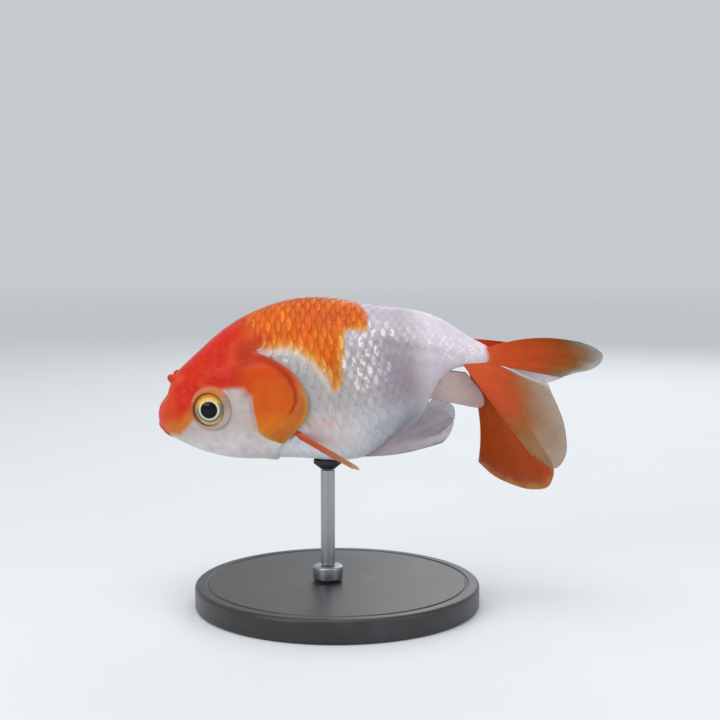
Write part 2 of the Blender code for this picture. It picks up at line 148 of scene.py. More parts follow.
def bodyLine(name, x):
    # a spline over the root of x, which keeps the snout blunt
    table = np.array(body[name])
    at = np.sqrt(np.clip(x, 0.0, None) / bodyLength)
    return smoothCurve(np.sqrt(table[:, 0] / bodyLength), table[:, 1], at)


def bodyPoint(x, angle):
    # a superellipse ring at x, read at an angle from the back (0) by the right side to the belly (pi)
    x = np.asarray(x, float)
    level = bodyLine("widestLevel", x)
    power = 2.0 / bodyLine("fullness", x)
    past = np.clip((x - bodyLength + body["tailRounding"]) / body["tailRounding"], 0.0, 1.0)
    taper = np.sqrt(1.0 - past ** 2)
    rise, out = np.cos(angle), np.sin(angle)
    reach = np.where(rise > 0, bodyLine("backLine", x) - level, level - bodyLine("bellyLine", x)) * taper
    y = bodyLine("halfWidth", x) * taper * np.sign(out) * np.abs(out) ** power
    z = level + reach * np.sign(rise) * np.abs(rise) ** power
    return np.stack(np.broadcast_arrays(x, y, z), axis=-1)


def bodyNormal(x, angle):
    # the cross product of the two small steps over the surface, outwards
    along = bodyPoint(x + 0.02, angle) - bodyPoint(x - 0.02, angle)
    around = bodyPoint(x, angle + 0.004) - bodyPoint(x, angle - 0.004)
    normal = np.cross(along, around)
    return normal / np.linalg.norm(normal, axis=-1, keepdims=True)


# a table of the angle at each share of a half ring's length, so that grids are even round the body
tableRoots = np.linspace(0.03, 0.9995, 320)
tableShares = np.linspace(0.0, 1.0, 241)
tableTurns = np.linspace(0.0, math.pi, 901)
tableRings = bodyPoint((bodyLength * tableRoots ** 2)[:, None], tableTurns[None, :])
tableArcs = np.cumsum(np.linalg.norm(np.diff(tableRings[..., 1:], axis=1), axis=2), axis=1)
tableArcs = np.concatenate([np.zeros((len(tableRoots), 1)), tableArcs], axis=1)
halfGirths = tableArcs[:, -1]
angleTable = np.stack([np.interp(tableShares, arc / arc[-1], tableTurns) for arc in tableArcs])


def halfGirth(x):
    # half the length round the ring at x, from the table
    return np.interp(np.sqrt(np.clip(x, 0.0, None) / bodyLength), tableRoots, halfGirths)


def angleAt(x, turn):
    # turn runs once round the ring, 0 on the back and 0.5 on the belly, even in length; bilinear in the table
    turn = turn % 1.0
    share = 1.0 - np.abs(1.0 - 2.0 * turn)
    side = np.where(turn < 0.5, 1.0, -1.0)
    i = np.clip((np.sqrt(np.clip(x, 0, None) / bodyLength) - tableRoots[0]) / (tableRoots[1] - tableRoots[0]),
                0, len(tableRoots) - 1.001)
    j = np.clip(share * (len(tableShares) - 1), 0, len(tableShares) - 1.001)
    i0, j0 = i.astype(int), j.astype(int)
    u, v = i - i0, j - j0
    low = angleTable[i0, j0] * (1 - v) + angleTable[i0, j0 + 1] * v
    high = angleTable[i0 + 1, j0] * (1 - v) + angleTable[i0 + 1, j0 + 1] * v
    return side * (low * (1 - u) + high * u)


def onBody(x, turn, height=0.0):
    # a point of the body, height millimetres off it along its normal
    angle = angleAt(x, turn)
    return bodyPoint(x, angle) + bodyNormal(x, angle) * np.asarray(height)[..., None]


# meshes
def gridFaces(rows, columns, wrap):
    # quads between rows of a grid, as an array; wrap closes each row on itself
    i, j = np.meshgrid(np.arange(rows - 1), np.arange(columns if wrap else columns - 1), indexing="ij")
    k = (j + 1) % columns
    quad = np.stack([i * columns + j, (i + 1) * columns + j, (i + 1) * columns + k, i * columns + k], axis=-1)
    return quad.reshape(-1, 4)


def gridBorder(rows, columns):
    # the points round the edge of an open grid, starting along its first row
    grid = np.arange(rows * columns).reshape(rows, columns)
    return np.concatenate([grid[0], grid[1:, -1], grid[-1, -2::-1], grid[-2:0:-1, 0]])


def closedGrid(rows, columns):
    # a wrapped grid with a fan to a point at either end; the two end points follow the grid's own
    ring = np.arange(columns)
    following, last = (ring + 1) % columns, (rows - 1) * columns
    first = np.stack([np.full(columns, rows * columns), ring, following], axis=1)
    final = np.stack([np.full(columns, rows * columns + 1), last + following, last + ring], axis=1)
    return [gridFaces(rows, columns, True), np.concatenate([first, final])]


def makePiece(name, points, faces, material, replaced=(), colours=None, values=None,
              sharpDeg=None):
    # points are in the frame's metres; faces is a list of index arrays, one for each size of face; a closed
    # piece whose faces point inwards is turned
    mesh = bpy.data.meshes.new(name)
    corners = np.concatenate([np.asarray(part).ravel() for part in faces])
    sizes = np.concatenate([np.full(len(part), np.asarray(part).shape[1]) for part in faces])
    mesh.vertices.add(len(points))
    mesh.vertices.foreach_set("co", np.asarray(points, np.float32).ravel())
    mesh.loops.add(len(corners))
    mesh.loops.foreach_set("vertex_index", corners.astype(np.int32))
    mesh.polygons.add(len(sizes))
    starts = np.concatenate([[0], np.cumsum(sizes)[:-1]])
    mesh.polygons.foreach_set("loop_start", starts.astype(np.int32))
    mesh.update(calc_edges=True)
    mesh.validate()
    if meshVolume(points, faces) < 0:
        mesh.flip_normals()
    mesh.shade_smooth()
    if sharpDeg:
        mesh.set_sharp_from_angle(angle=math.radians(sharpDeg))
    for key, tint in (colours or {}).items():
        opaque = np.concatenate([tint, np.ones((len(tint), 1))], axis=1).astype(np.float32)
        mesh.attributes.new(key, "FLOAT_COLOR", "POINT").data.foreach_set("color", opaque.ravel())
    for key, value in (values or {}).items():
        layer = mesh.attributes.new(key, "FLOAT", "POINT")
        layer.data.foreach_set("value", value.astype(np.float32))
    mesh.materials.append(material)
    piece = bpy.data.objects.new(name, mesh)
    bpy.context.scene.collection.objects.link(piece)
    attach(piece, "root")
    if replaced:
        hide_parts(*replaced)
    return piece


def meshVolume(points, faces):
    # six times the volume inside: the sum of the triple products over each face's fan of triangles
    total = 0.0
    for part in faces:
        part = np.asarray(part)
        for k in range(1, part.shape[1] - 1):
            a, b, c = points[part[:, 0]], points[part[:, k]], points[part[:, k + 1]]
            total += np.einsum("ij,ij->i", a, np.cross(b, c)).sum()
    return total


# shader maths: a wire is one socket, and arithmetic on wires adds Math nodes
class Wire:
    def __init__(self, tree, socket=None):
        self.tree, self.socket = tree, socket

    def add(self, kind, settings=None, inputs=None, output=0):
        # any node: its settings first, then the values or links of its sockets
        node = self.tree.nodes.new("ShaderNode" + kind)
        for key, value in (settings or {}).items():
            setattr(node, key, value)
        for key, value in (inputs or {}).items():
            if isinstance(value, Wire):
                self.tree.links.new(value.socket, node.inputs[key])
            else:
                node.inputs[key].default_value = value
        return Wire(self.tree, node.outputs[output])

    def maths(self, operation, first, second=0.0):
        return self.add("Math", {"operation": operation}, {0: first, 1: second})

    def __add__(self, other):
        return self.maths("ADD", self, other)

    __radd__ = __add__

    def __sub__(self, other):
        return self.maths("SUBTRACT", self, other)

    def __rsub__(self, other):
        return self.maths("SUBTRACT", other, self)

    def __mul__(self, other):
        return self.maths("MULTIPLY", self, other)

    __rmul__ = __mul__

    def __truediv__(self, other):
        return self.maths("DIVIDE", self, other)

    def ease(self, low, high):
        # 0 at low, 1 at high, smooth in between
        return self.add("MapRange", {"interpolation_type": "SMOOTHSTEP"}, {0: self, 1: low, 2: high})

    def tint(self, base, colour):
        # base moved towards colour by this wire
        return self.add("Mix", {"data_type": "RGBA"}, {0: self, 6: base, 7: colour}, 2)

    def scaled(self, factors, amount=1.0):
        # this colour moved by amount towards itself times factors
        settings = {"data_type": "RGBA", "blend_type": "MULTIPLY"}
        return self.add("Mix", settings, {0: amount, 6: self, 7: factors}, 2)

    def noise(self, where, scale, detail=3.0, roughness=0.55):
        inputs = {"Vector": where, "Scale": scale, "Detail": detail, "Roughness": roughness}
        return self.add("TexNoise", {}, inputs)

    def place(self):
        return self.add("TexCoord", {}, {}, "Object")

    def value(self, name):
        return self.add("Attribute", {"attribute_name": name}, {}, "Fac")

    def colour(self, name):
        return self.add("Attribute", {"attribute_name": name}, {}, "Color")

    def bump(self, height, strength, distance):
        return self.add("Bump", {}, {"Strength": strength, "Distance": distance, "Height": height})


def rgba(colour):
    return (*linear(colour), 1.0)


def newMaterial(name, constants):
    # a Principled shader with its constants on its own sockets; returns the material and a wire to build with
    made = bpy.data.materials.new(name)
    made.use_nodes = True
    shader = made.node_tree.nodes["Principled BSDF"]
    for key, value in constants.items():
        shader.inputs[key].default_value = value
    return made, Wire(made.node_tree)


def feed(material, wires):
    shader = material.node_tree.nodes["Principled BSDF"]
    for key, wire in wires.items():
        material.node_tree.links.new(wire.socket, shader.inputs[key])
    return material


# landmarks that the relief and the markings share
eye = {
    "centre": (13.35, 7.5, 0.1), "radii": (4.3, 3.4, 4.3), "forwardDeg": 11.0,
    "lidFrom": 3.15, "lidFull": 3.62, "lidHeight": 0.42, "lidOuter": (4.95, 4.15),
    "lidCentre": (0.55, 0.15),      # the lid's outer circle lies off centre, tailwards and up
    "foldAt": 5.0, "foldWidth": 0.26, "foldDepth": 0.10,
    "socket": (3.40, 2.85), "socketDepth": 1.9,
}
gill = {
    # the cover's rear edge: degrees round from the back, and x; it runs on across the throat
    "rearEdge": (
        (50, 21.6), (58, 24.4), (64, 26.9), (70, 29.4), (77, 31.6), (85, 33.1), (93, 33.8),
        (101, 33.3), (109, 31.9), (118, 29.6), (127, 27.4), (140, 25.3), (155, 24.4), (180, 24.0)),
    "proud": ((55, 0.20), (72, 0.75), (110, 0.75), (135, 0.42), (180, 0.32)),
    "slopeLength": ((60, 10.0), (120, 9.0), (150, 3.5)),
    "slitDepth": 0.45, "slitWidth": 0.5,
    # the crease inside the edge: level z, and its distance from the edge
    "crease": (
        (-3.2, 3.5), (-2.0, 3.1), (-0.6, 2.3), (1.4, 1.7), (3.6, 1.3), (5.4, 1.0), (7.6, 0.8),
        (9.0, 0.4)),
    "creaseDepth": 0.18,
    # the cover's front edge on the cheek: level z, and x
    "frontEdge": (
        (-9.2, 28.0), (-8.8, 26.4), (-8.0, 24.8), (-7.2, 23.7), (-6.4, 22.8), (-5.6, 22.3),
        (-4.1, 22.4), (0.0, 22.3), (1.6, 22.5), (2.4, 22.1), (3.4, 21.5), (5.2, 20.6), (6.5, 20.6),
        (9.0, 22.4), (11.0, 25.0)),
}
mouth = {
    "halfWidth": 3.2,
    "lineZ": -2.75, "lineDroop": 1.25, "lineDepth": 0.80, "lineWidth": 0.15,
    "upperZ": -1.95, "upperDroop": 1.5, "upperHeight": 0.36, "upperWidth": 0.50,
    "lowerZ": -3.45, "lowerDroop": 1.1, "lowerHeight": 0.38, "lowerWidth": 0.48,
}
nostril = {"out": 2.6, "x": {-1: 5.0, 1: 5.2}, "across": 0.78, "along": 0.95, "height": 1.25, "pitAt": 1.35,
           "pitDepth": 0.35}


def eyeAxes(side):
    # outward axis of an eye, its tailward direction and up, in the fish frame
    turn = math.radians(eye["forwardDeg"])
    outward = np.array([-math.sin(turn), side * math.cos(turn), 0.0])
    tailward = np.array([math.cos(turn), side * math.sin(turn), 0.0])
    centre = np.array(eye["centre"]) * (1, side, 1)
    return centre, outward, tailward


farOff = 9.0    # stands for every distance from an eye past this, in millimetres


def eyeField(points, side):
    # distance from the eye's axis, distance from the lid's own axis, and the tailward and upward shares of it
    centre, outward, tailward = eyeAxes(side)
    offset = points - centre
    along, up = offset @ tailward, offset[..., 2]
    facing = offset @ outward > 0
    away = np.where(facing, np.hypot(along, up), farOff)
    lidAway = np.where(facing, np.hypot(along - eye["lidCentre"][0], up - eye["lidCentre"][1]), farOff)
    reach = np.maximum(np.hypot(along, up), 1e-6)
    return np.minimum(away, farOff), np.minimum(lidAway, farOff), along / reach, up / reach


gillDegrees = np.linspace(50.0, 180.0, 521)
gillEdge = smoothCurve(*np.array(gill["rearEdge"]).T, gillDegrees)
gillSlope = np.gradient(gillEdge, gillDegrees)


def gillField(x, angle):
    # how far a point lies forward of the gill cover's rear edge along x, that length's stretch over the
    # distance square to the edge, and how open the slit is: shut at its top end
    degrees = np.degrees(np.abs(angle))
    near = np.clip(x, 15.0, 36.0)
    around = np.linalg.norm(bodyPoint(near, angle + 0.01) - bodyPoint(near, angle - 0.01), axis=-1) / 0.02
    slope = np.interp(degrees, gillDegrees, gillSlope) / (around * math.pi / 180)
    return np.interp(degrees, gillDegrees, gillEdge) - x, np.sqrt(1 + slope ** 2), ease(53.0, 62.0, degrees)


def tableAt(table, at):
    # a value read between the rows of a small table
    return np.interp(at, [row[0] for row in table], [row[1] for row in table])


def insideShape(x, z, corners):
    # signed distance to a closed shape of straight sides: negative inside
    corners = np.array(corners, float)
    spot = np.stack([x, z], axis=-1)
    best = np.full(x.shape, 1e9)
    odd = np.zeros(x.shape, bool)
    for a, b in zip(corners, np.roll(corners, -1, axis=0)):
        edge = b - a
        t = np.clip(((spot - a) @ edge) / (edge @ edge), 0, 1)
        best = np.minimum(best, np.linalg.norm(spot - a - t[..., None] * edge, axis=-1))
        crosses = (a[1] > z) != (b[1] > z)
        rise = np.where(b[1] == a[1], 1.0, b[1] - a[1])
        odd ^= crosses & (x < a[0] + (z - a[1]) * edge[0] / rise)
    return np.where(odd, -best, best)


# markings, one set of rules for skin and scales
markings = {
    "saddleLeft": (
        (16.0, 30.0), (16.0, 8.4), (26.0, 10.5), (30.8, 9.9), (33.7, 8.8), (35.2, 7.5), (37.3, 4.7),
        (38.3, 3.6), (38.5, 1.7), (39.1, 0.3), (40.0, -0.3), (40.9, 0.6), (41.4, 2.6), (42.1, 5.2),
        (42.8, 8.2), (43.1, 10.8), (43.9, 11.4), (47.2, 10.5), (48.1, 11.6), (47.8, 13.5),
        (46.9, 15.2), (45.4, 16.3), (44.6, 30.0)),
    "saddleRight": (
        (16.0, 30.0), (16.0, 8.4), (25.6, 10.4), (29.5, 7.4), (33.0, 8.8), (36.4, 12.4),
        (40.6, 11.2), (45.0, 14.0), (44.6, 30.0)),
    "spotRight": (
        (49.0, 7.2), (50.6, 8.9), (52.0, 9.2), (54.4, 8.6), (55.2, 7.4), (54.4, 4.9), (52.4, 4.1),
        (50.2, 4.4)),
    # the red hood's lower edge on the face: x, and level z
    "hoodEdge": (
        (0.0, -4.9), (1.4, -4.6), (3.2, -4.4), (5.3, -4.5), (6.6, -3.7), (8.2, -2.3), (9.5, -1.0),
        (10.2, 1.0), (13.0, 4.0), (17.8, 3.7), (20.0, 3.6), (21.4, 3.4), (22.4, 1.9), (26.0, 1.0)),
    "red": (204, 38, 20), "snout": (212, 66, 30), "snoutLow": (206, 112, 38), "nape": (212, 92, 30),
    "napeLow": (178, 44, 10), "mottle": (218, 92, 40), "hoodRim": (204, 110, 62), "saddle": (211, 98, 22),
    "saddleDeep": (200, 82, 16), "amber": (214, 156, 70), "back": (186, 178, 188),
    "flank": (170, 164, 165), "belly": (208, 210, 216), "rearBelly": (146, 138, 150),
    "rearPink": (160, 132, 142), "blush": (206, 168, 146), "bellyRear": (178, 180, 190),
    "bellyFront": (238, 241, 245), "wedge": (212, 192, 172), "peduncle": (216, 206, 216),
    "cheek": (190, 177, 173), "throat": (230, 226, 225), "cheekFold": (170, 104, 84),
    "plateTop": (210, 72, 12), "plateMiddle": (208, 90, 12), "plateLow": (211, 118, 18),
    "creaseShade": (160, 46, 14), "rimTop": (208, 92, 44), "rimLow": (190, 104, 44),
    "fringe": (190, 150, 74), "slit": (146, 112, 116), "lipUpper": (190, 42, 22),
    "lipLower": (196, 92, 40), "lipLine": (92, 22, 14), "flap": (178, 48, 26), "lidTop": (206, 124, 70),
    "lidFront": (196, 96, 54), "lidBack": (154, 134, 118), "lidLow": (182, 164, 162),
    "tailRoot": (204, 92, 44),
}
paint = {key: linear(value) for key, value in markings.items() if isinstance(value[0], int)}


def paintOver(colour, *coats):
    # each coat is a paint's name and how much of it covers what is there
    for name, amount in coats:
        colour = blend(colour, paint[name], amount)
    return colour


def dippedLevel(x, z):
    # z plus 0.38 of what x is past 50: level lines that dip with the tail base
    return z + 0.38 * np.maximum(x - 50.0, 0.0)


def coatColour(x, z, side, warp):
    # white above and below with a grey-lilac rear belly, a cream band under the saddle's edge, a painted pink
    # reflection of the pectoral fin on the lower flank and a bright tail base, then an orange saddle with
    # amber edges; warp pushes the saddle's outline about
    left = insideShape(x, z, markings["saddleLeft"])
    right = insideShape(x, z, markings["saddleRight"])
    spot = insideShape(x, z, markings["spotRight"])
    shape = np.where(side < 0, left, np.minimum(right, spot)) + warp
    colour = paintOver(paint["flank"],
        ("back", ease(6.0, 12.0, z)),
        ("belly", ease(-2.0, -9.0, z)),
        ("wedge", 0.85 * bell(shape, 0.45, 0.7) * ease(24.0, 26.5, x) * ease(40.0, 37.0, x)
         * ease(11.0, 10.0, z)),
        # painted pink reflection of the pectoral fin on the lower flank
        ("blush", 0.55 * bell(z + 0.12 * (x - 33.0), -5.9, 1.3) * ease(30.0, 32.5, x) * ease(45.0, 36.0, x)),
        ("bellyRear", ease(-4.0, -9.0, z) * ease(40.0, 50.0, x)),
        ("bellyFront", ease(-7.0, -11.5, z) * ease(46.0, 38.0, x)),
        ("rearBelly", 0.9 * bell(x, 52.2, 4.5) * bell(z, -0.4, 7.2)),
        ("rearPink", 0.45 * bell(x, 53.6, 2.2) * bell(z, -0.4, 2.6)),
        ("peduncle", ease(54.0, 60.0, x)))
    level = dippedLevel(x, z)    # faint bands along the flank
    colour = colour * (1 - (0.16 * bell(level, 8.0, 0.8) + 0.10 * bell(level, 5.0, 0.9)) * ease(44.0, 48.0, x)
                       * ease(66.0, 60.0, x))[..., None]
    cloud = softNoise(np.stack([x, z, 0 * z + 3.0 * side], -1), 4.0, 5)
    orange = paintOver(paint["nape"],
        ("saddle", ease(24.0, 31.0, x)),
        ("napeLow", ease(15.2, 11.6, z) * ease(30.0, 25.0, x)),
        ("saddleDeep", 0.8 * ease(-0.1, 0.8, cloud)),
        ("amber", 0.8 * ease(-2.0, -0.4, shape) * ease(25.0, 28.0, x) * ease(12.5, 11.0, z)))
    return blend(colour, orange, ease(0.30, -0.30, shape)), shape


def skinColour(points, side, inside, slit, tailward, up):
    # the coat's colours, then the white cheek, red hood, gill cover, lips, nostrils and tail root over them,
    # with painted shade in the gill slit, along the cover's crease and in the mouth's line; returns also the
    # colours of the eye's lid
    x, z = points[..., 0], points[..., 2]
    wander = softNoise(points, 1.6, 2)
    colour = coatColour(x, z, side, 0.15 * wander)[0]
    # cheek and throat
    bare = slit * ease(-0.02, 0.05, inside) + (1 - slit) * ease(26.5, 23.0, x)
    above = z - tableAt(markings["hoodEdge"], x) + 0.22 * wander
    softness = np.interp(x, (0.0, 4.0, 9.0, 17.0), (0.5, 0.9, 0.8, 0.6))
    hoodShare = ease(-1.0, 1.0, above / softness)
    cheek = paintOver(paint["cheek"],
        ("throat", ease(-2.5, -10.0, z)),
        ("cheekFold", 0.65 * bell(x, 21.6, 1.1) * bell(z, 2.2, 1.0)))
    cheek = blend(cheek, paint["cheek"] * 0.88, 0.35 * ease(0.1, 0.9, softNoise(points, 2.4, 12)))
    colour = blend(colour, cheek, bare * (1 - hoodShare * ease(20.0, 22.0, x)))
    # hood: its edge is soft on the snout and firmer behind the eye
    hood = paintOver(paint["red"],
        ("mottle", 0.45 * ease(0.0, 0.9, softNoise(points, 2.6, 9))),
        ("mottle", 0.20 * ease(0.0, 0.9, softNoise(points, 0.7, 10))),
        ("hoodRim", 0.7 * ease(1.1, -0.2, above) * ease(16.0, 17.5, x)),
        ("snout", 0.9 * ease(7.0, 4.5, x)),
        ("snoutLow", ease(4.2, 1.2, above) * ease(10.0, 8.4, x) * ease(0.6, 3.0, x)),
        ("nape", ease(20.0, 26.0, x)),
        ("napeLow", 0.9 * ease(18.5, 22.0, x) * ease(14.5, 11.0, z)))
    colour = blend(colour, hood, hoodShare * np.maximum(bare, ease(25.5, 23.5, x)))
    # gill cover
    front = x - tableAt(gill["frontEdge"], z) + 0.12 * wander
    firm = np.interp(z, (1.0, 3.6), (0.30, 2.4))
    plate = paintOver(paint["plateMiddle"],
        ("plateTop", ease(1.0, 7.0, z)),
        ("plateLow", ease(-1.0, -6.0, z)))
    creaseAt = tableAt(gill["crease"], z)
    rim = paintOver(paint["rimLow"], ("rimTop", ease(0.0, 4.0, z)))
    plate = blend(plate, rim, 0.8 * ease(creaseAt, creaseAt - 0.5, inside))
    plate = paintOver(plate,
        ("fringe", 0.85 * ease(1.0, 0.1, inside) * ease(3.0, -1.0, z)),
        ("fringe", 0.9 * ease(1.5, 0.2, front) * ease(-4.6, -6.2, z)),
        # painted shade along the cover's crease
        ("creaseShade", 0.9 * bell(inside, creaseAt, 0.40 + 0.35 * ease(0.0, 6.0, z)) * ease(-4.0, -2.2, z)))
    fromTop = np.degrees(np.arctan2(np.abs(points[..., 1]), z)) + 8
    plateMask = ease(-1.0, 1.0, front / firm) * bare * ease(61.0, 66.0, fromTop)
    colour = blend(colour, plate, plateMask)
    edgeLine = bell(front, -0.45, 0.30) * ease(2.0, 0.5, z) * ease(-6.4, -5.0, z) * bare
    colour = paintOver(colour,
        ("cheekFold", 0.40 * edgeLine),
        # painted shadow inside the slit under the cover's rear edge
        ("slit", 0.6 * ease(0.02, -0.08, inside) * ease(-1.0, -0.3, inside) * ease(7.5, 5.5, z) * slit))
    # lips
    t = np.clip(np.abs(points[..., 1]) / mouth["halfWidth"], 0, 1.4)
    lipLine = z - (mouth["lineZ"] - mouth["lineDroop"] * t ** 2)
    face = ease(5.0, 3.4, x) * ease(1.20, 0.85, t)
    colour = paintOver(colour,
        ("lipUpper", 0.6 * face * ease(-0.05, 0.1, lipLine) * ease(1.3, 0.7, lipLine)),
        ("lipLower", 0.8 * face * ease(0.05, -0.1, lipLine) * ease(-1.6, -0.9, lipLine)),
        # painted shade in the crease where the lips meet
        ("lipLine", 0.85 * face * bell(lipLine, 0.0, 0.16)),
        ("flap", 0.6 * nostrilFlap(points, side)[0]),
        ("tailRoot", ease(70.0, 71.2, x)))
    # lid: peach above, rusty in front, olive behind and pinkish grey below
    lid = paintOver(paint["lidLow"],
        ("lidBack", 0.7 * ease(0.2, 0.9, tailward) * ease(-0.5, 0.2, up)),
        ("lidFront", ease(-0.15, -0.75, tailward) * ease(-0.75, -0.25, up)),
        ("lidTop", ease(0.25, 0.75, up)))
    return colour, lid


# skin: one closed grid over head, trunk and tail base, with the folds as heights off the body
skin = {
    "frontRows": 208, "frontEnd": 35.0, "frontPower": 1.7, "rearRows": 72, "roundRows": 18, "columns": 330,
    "headLevel": -0.04, "coatLevel": -0.20, "crowd": 0.8, "crowdWidth": 0.7,
    # fleshy roots of the pectoral and pelvic fins: place, radius and height
    "finRoots": (((29.9, 10.4, -7.9), 1.6, 0.45), ((42.6, 3.2, -14.6), 1.6, 0.35)),
}


def bedLevel(x):
    # the skin's own level: the bare head's, easing down to the bed that the scales stand in
    return skin["headLevel"] + (skin["coatLevel"] - skin["headLevel"]) * ease(22.5, 27.0, x)


def crowdedGrid():
    # x and turn of each grid point; points slide square to the eye's and the gill's edges, towards them,
    # by crowd * d * exp(-(d / width)^2), so that both edges come out crisp
    before = bodyLength - body["tailRounding"]
    front = skin["frontEnd"] * (np.arange(1, skin["frontRows"] + 1) / skin["frontRows"]) ** skin["frontPower"]
    rear = np.linspace(skin["frontEnd"], before, skin["rearRows"] + 1)[1:]
    quarter = 0.5 * math.pi * np.arange(1, skin["roundRows"]) / skin["roundRows"]
    rows = np.concatenate([front, rear, before + body["tailRounding"] * np.sin(quarter)])
    x, turn = np.meshgrid(rows, np.arange(skin["columns"]) / skin["columns"], indexing="ij")
    gap, stretch, slit = gillField(x, angleAt(x, turn))
    x = x + gap * skin["crowd"] * bell(gap / stretch, 0.0, skin["crowdWidth"]) * slit
    for side in (-1, 1):
        points = onBody(x, turn)
        onSide = points[..., 1] * side > 0.3
        away = eyeField(points, side)[0]
        centre, outward = eyeAxes(side)[:2]
        offset = points - centre
        radial = offset - (offset @ outward)[..., None] * outward
        radial /= np.maximum(np.linalg.norm(radial, axis=-1, keepdims=True), 1e-6)
        gap = away - eye["socket"][0]
        slide = -gap * skin["crowd"] * bell(gap, 0.0, skin["crowdWidth"]) * onSide
        alongX = (points[2:] - points[:-2]) / (x[2:] - x[:-2])[..., None]
        alongX = np.concatenate([alongX[:1], alongX, alongX[-1:]])
        around = (np.roll(points, -1, axis=1) - np.roll(points, 1, axis=1)) * skin["columns"] / 2
        x = x + slide * (radial * alongX).sum(-1) / np.maximum((alongX ** 2).sum(-1), 0.2)
        turn = turn + slide * (radial * around).sum(-1) / np.maximum((around ** 2).sum(-1), 1.0)
    return x, turn


def nostrilFlap(points, side):
    # a rounded flap, (1 - across^2 - along^2)^0.45 high on its base, and the distance from the pit behind it
    turns = np.linspace(0.0, 0.5 * math.pi, 300)
    ring = bodyPoint(np.full(300, nostril["x"][side]), turns)
    spot = bodyPoint(np.array(nostril["x"][side]), np.interp(nostril["out"], ring[:, 1], turns))
    gap = points - spot * (1, side, 1)
    upHill = gap @ np.array([0.72, 0.0, 0.70])
    across = gap[..., 1] * side - 0.25 * upHill
    flap = np.clip(1 - (across / nostril["across"]) ** 2 - (upHill / nostril["along"]) ** 2, 0, 1)
    flap = flap ** 0.45 * (np.linalg.norm(gap, axis=-1) < 2.5)
    return flap, np.hypot(across, upHill - nostril["pitAt"])


def skinHeight(points, x, angle, side, inside, slit, eyeDistance, lidDistance, up):
    # sums the level of the bare head or of the scales' bed, the gill cover's step and slit, the eye's lid and
    # socket, lips, nostril flaps, throat folds, fin roots and a fine uneven hood
    degrees = np.degrees(np.abs(angle))
    z = points[..., 2]
    height = bedLevel(x)
    # gill cover: thickest at its round rear edge, sinking forward into the cheek
    rounding = np.sqrt(np.clip(1 - (1 - np.clip(inside, 0, 0.7) / 0.7) ** 2, 0, 1))
    raised = tableAt(gill["proud"], degrees) * ease(tableAt(gill["slopeLength"], degrees), 0.6, inside)
    plate = skin["headLevel"] + raised * (0.55 + 0.45 * rounding)
    plate = plate - gill["creaseDepth"] * bell(inside, tableAt(gill["crease"], z), 0.42) * ease(-4.4, -2.4, z)
    outside = height - gill["slitDepth"] * np.exp(np.minimum(inside, 0.0) / gill["slitWidth"])
    edge = ease(-0.10, 0.06, inside)
    height = height * (1 - slit) + (outside * (1 - edge) + plate * edge) * slit
    # cheek: a groove along the cover's front edge with a soft cheek before it, and a fold under the eye
    front = x - tableAt(gill["frontEdge"], z)
    level = ease(3.5, 1.5, z) * ease(-10.0, -8.0, z)
    height -= 0.13 * bell(front, -0.15, 0.30) * level
    height += 0.10 * bell(front, -1.3, 0.9) * level
    height -= 0.06 * bell(np.hypot(x - 13.6, z + 0.3), 7.4, 0.45) * ease(1.0, -2.0, z) * ease(14.0, 17.0, x)
    # throat: the middle groove and the two jaw folds
    height -= 0.18 * bell(degrees, 180.0, 5.0) * ease(8.0, 12.0, x) * ease(24.6, 22.0, x)
    height -= 0.09 * bell(degrees, 150.0 + 0.6 * (x - 8.0), 3.0) * ease(4.5, 8.0, x) * ease(21.0, 17.0, x)
    # eye
    lid = ease(eye["lidFrom"], eye["lidFull"], eyeDistance) * ease(*eye["lidOuter"], lidDistance)
    height += eye["lidHeight"] * (1.0 + 0.25 * up) * lid
    height -= eye["foldDepth"] * bell(lidDistance, eye["foldAt"], eye["foldWidth"])
    height -= eye["socketDepth"] * ease(*eye["socket"], eyeDistance)
    # lips
    t = np.clip(np.abs(points[..., 1]) / mouth["halfWidth"], 0, 1.5)
    face = ease(6.0, 4.2, x) * ease(1.25, 0.88, t)
    heights = {"upper": mouth["upperHeight"], "lower": mouth["lowerHeight"], "line": -mouth["lineDepth"]}
    for part, amount in heights.items():
        at = mouth[part + "Z"] - mouth[part + "Droop"] * t ** 2
        height += amount * bell(z, at, mouth[part + "Width"]) * face
    # a dip over the snout, then the nostrils
    height -= 0.30 * bell(x, 2.9, 1.0) * ease(75.0, 25.0, degrees)
    flap, pit = nostrilFlap(points, side)
    height += nostril["height"] * flap - nostril["pitDepth"] * bell(pit, 0.0, 0.38)
    # fin roots
    for rootAt, radius, lift in skin["finRoots"]:
        away = np.linalg.norm(points - np.array(rootAt) * (1, side, 1), axis=-1)
        height += lift * bell(away, 0.0, radius) * ease(0.1, -0.3, inside)
    # uneven hood: low warts over the brow, fainter on the cheek
    rough = ease(25.0, 20.0, x) * (0.35 + 0.65 * ease(-1.0, 4.0, z))
    height += rough * (0.045 * softNoise(points, 0.9, 3) + 0.07 * softNoise(points, 2.4, 4))
    return height


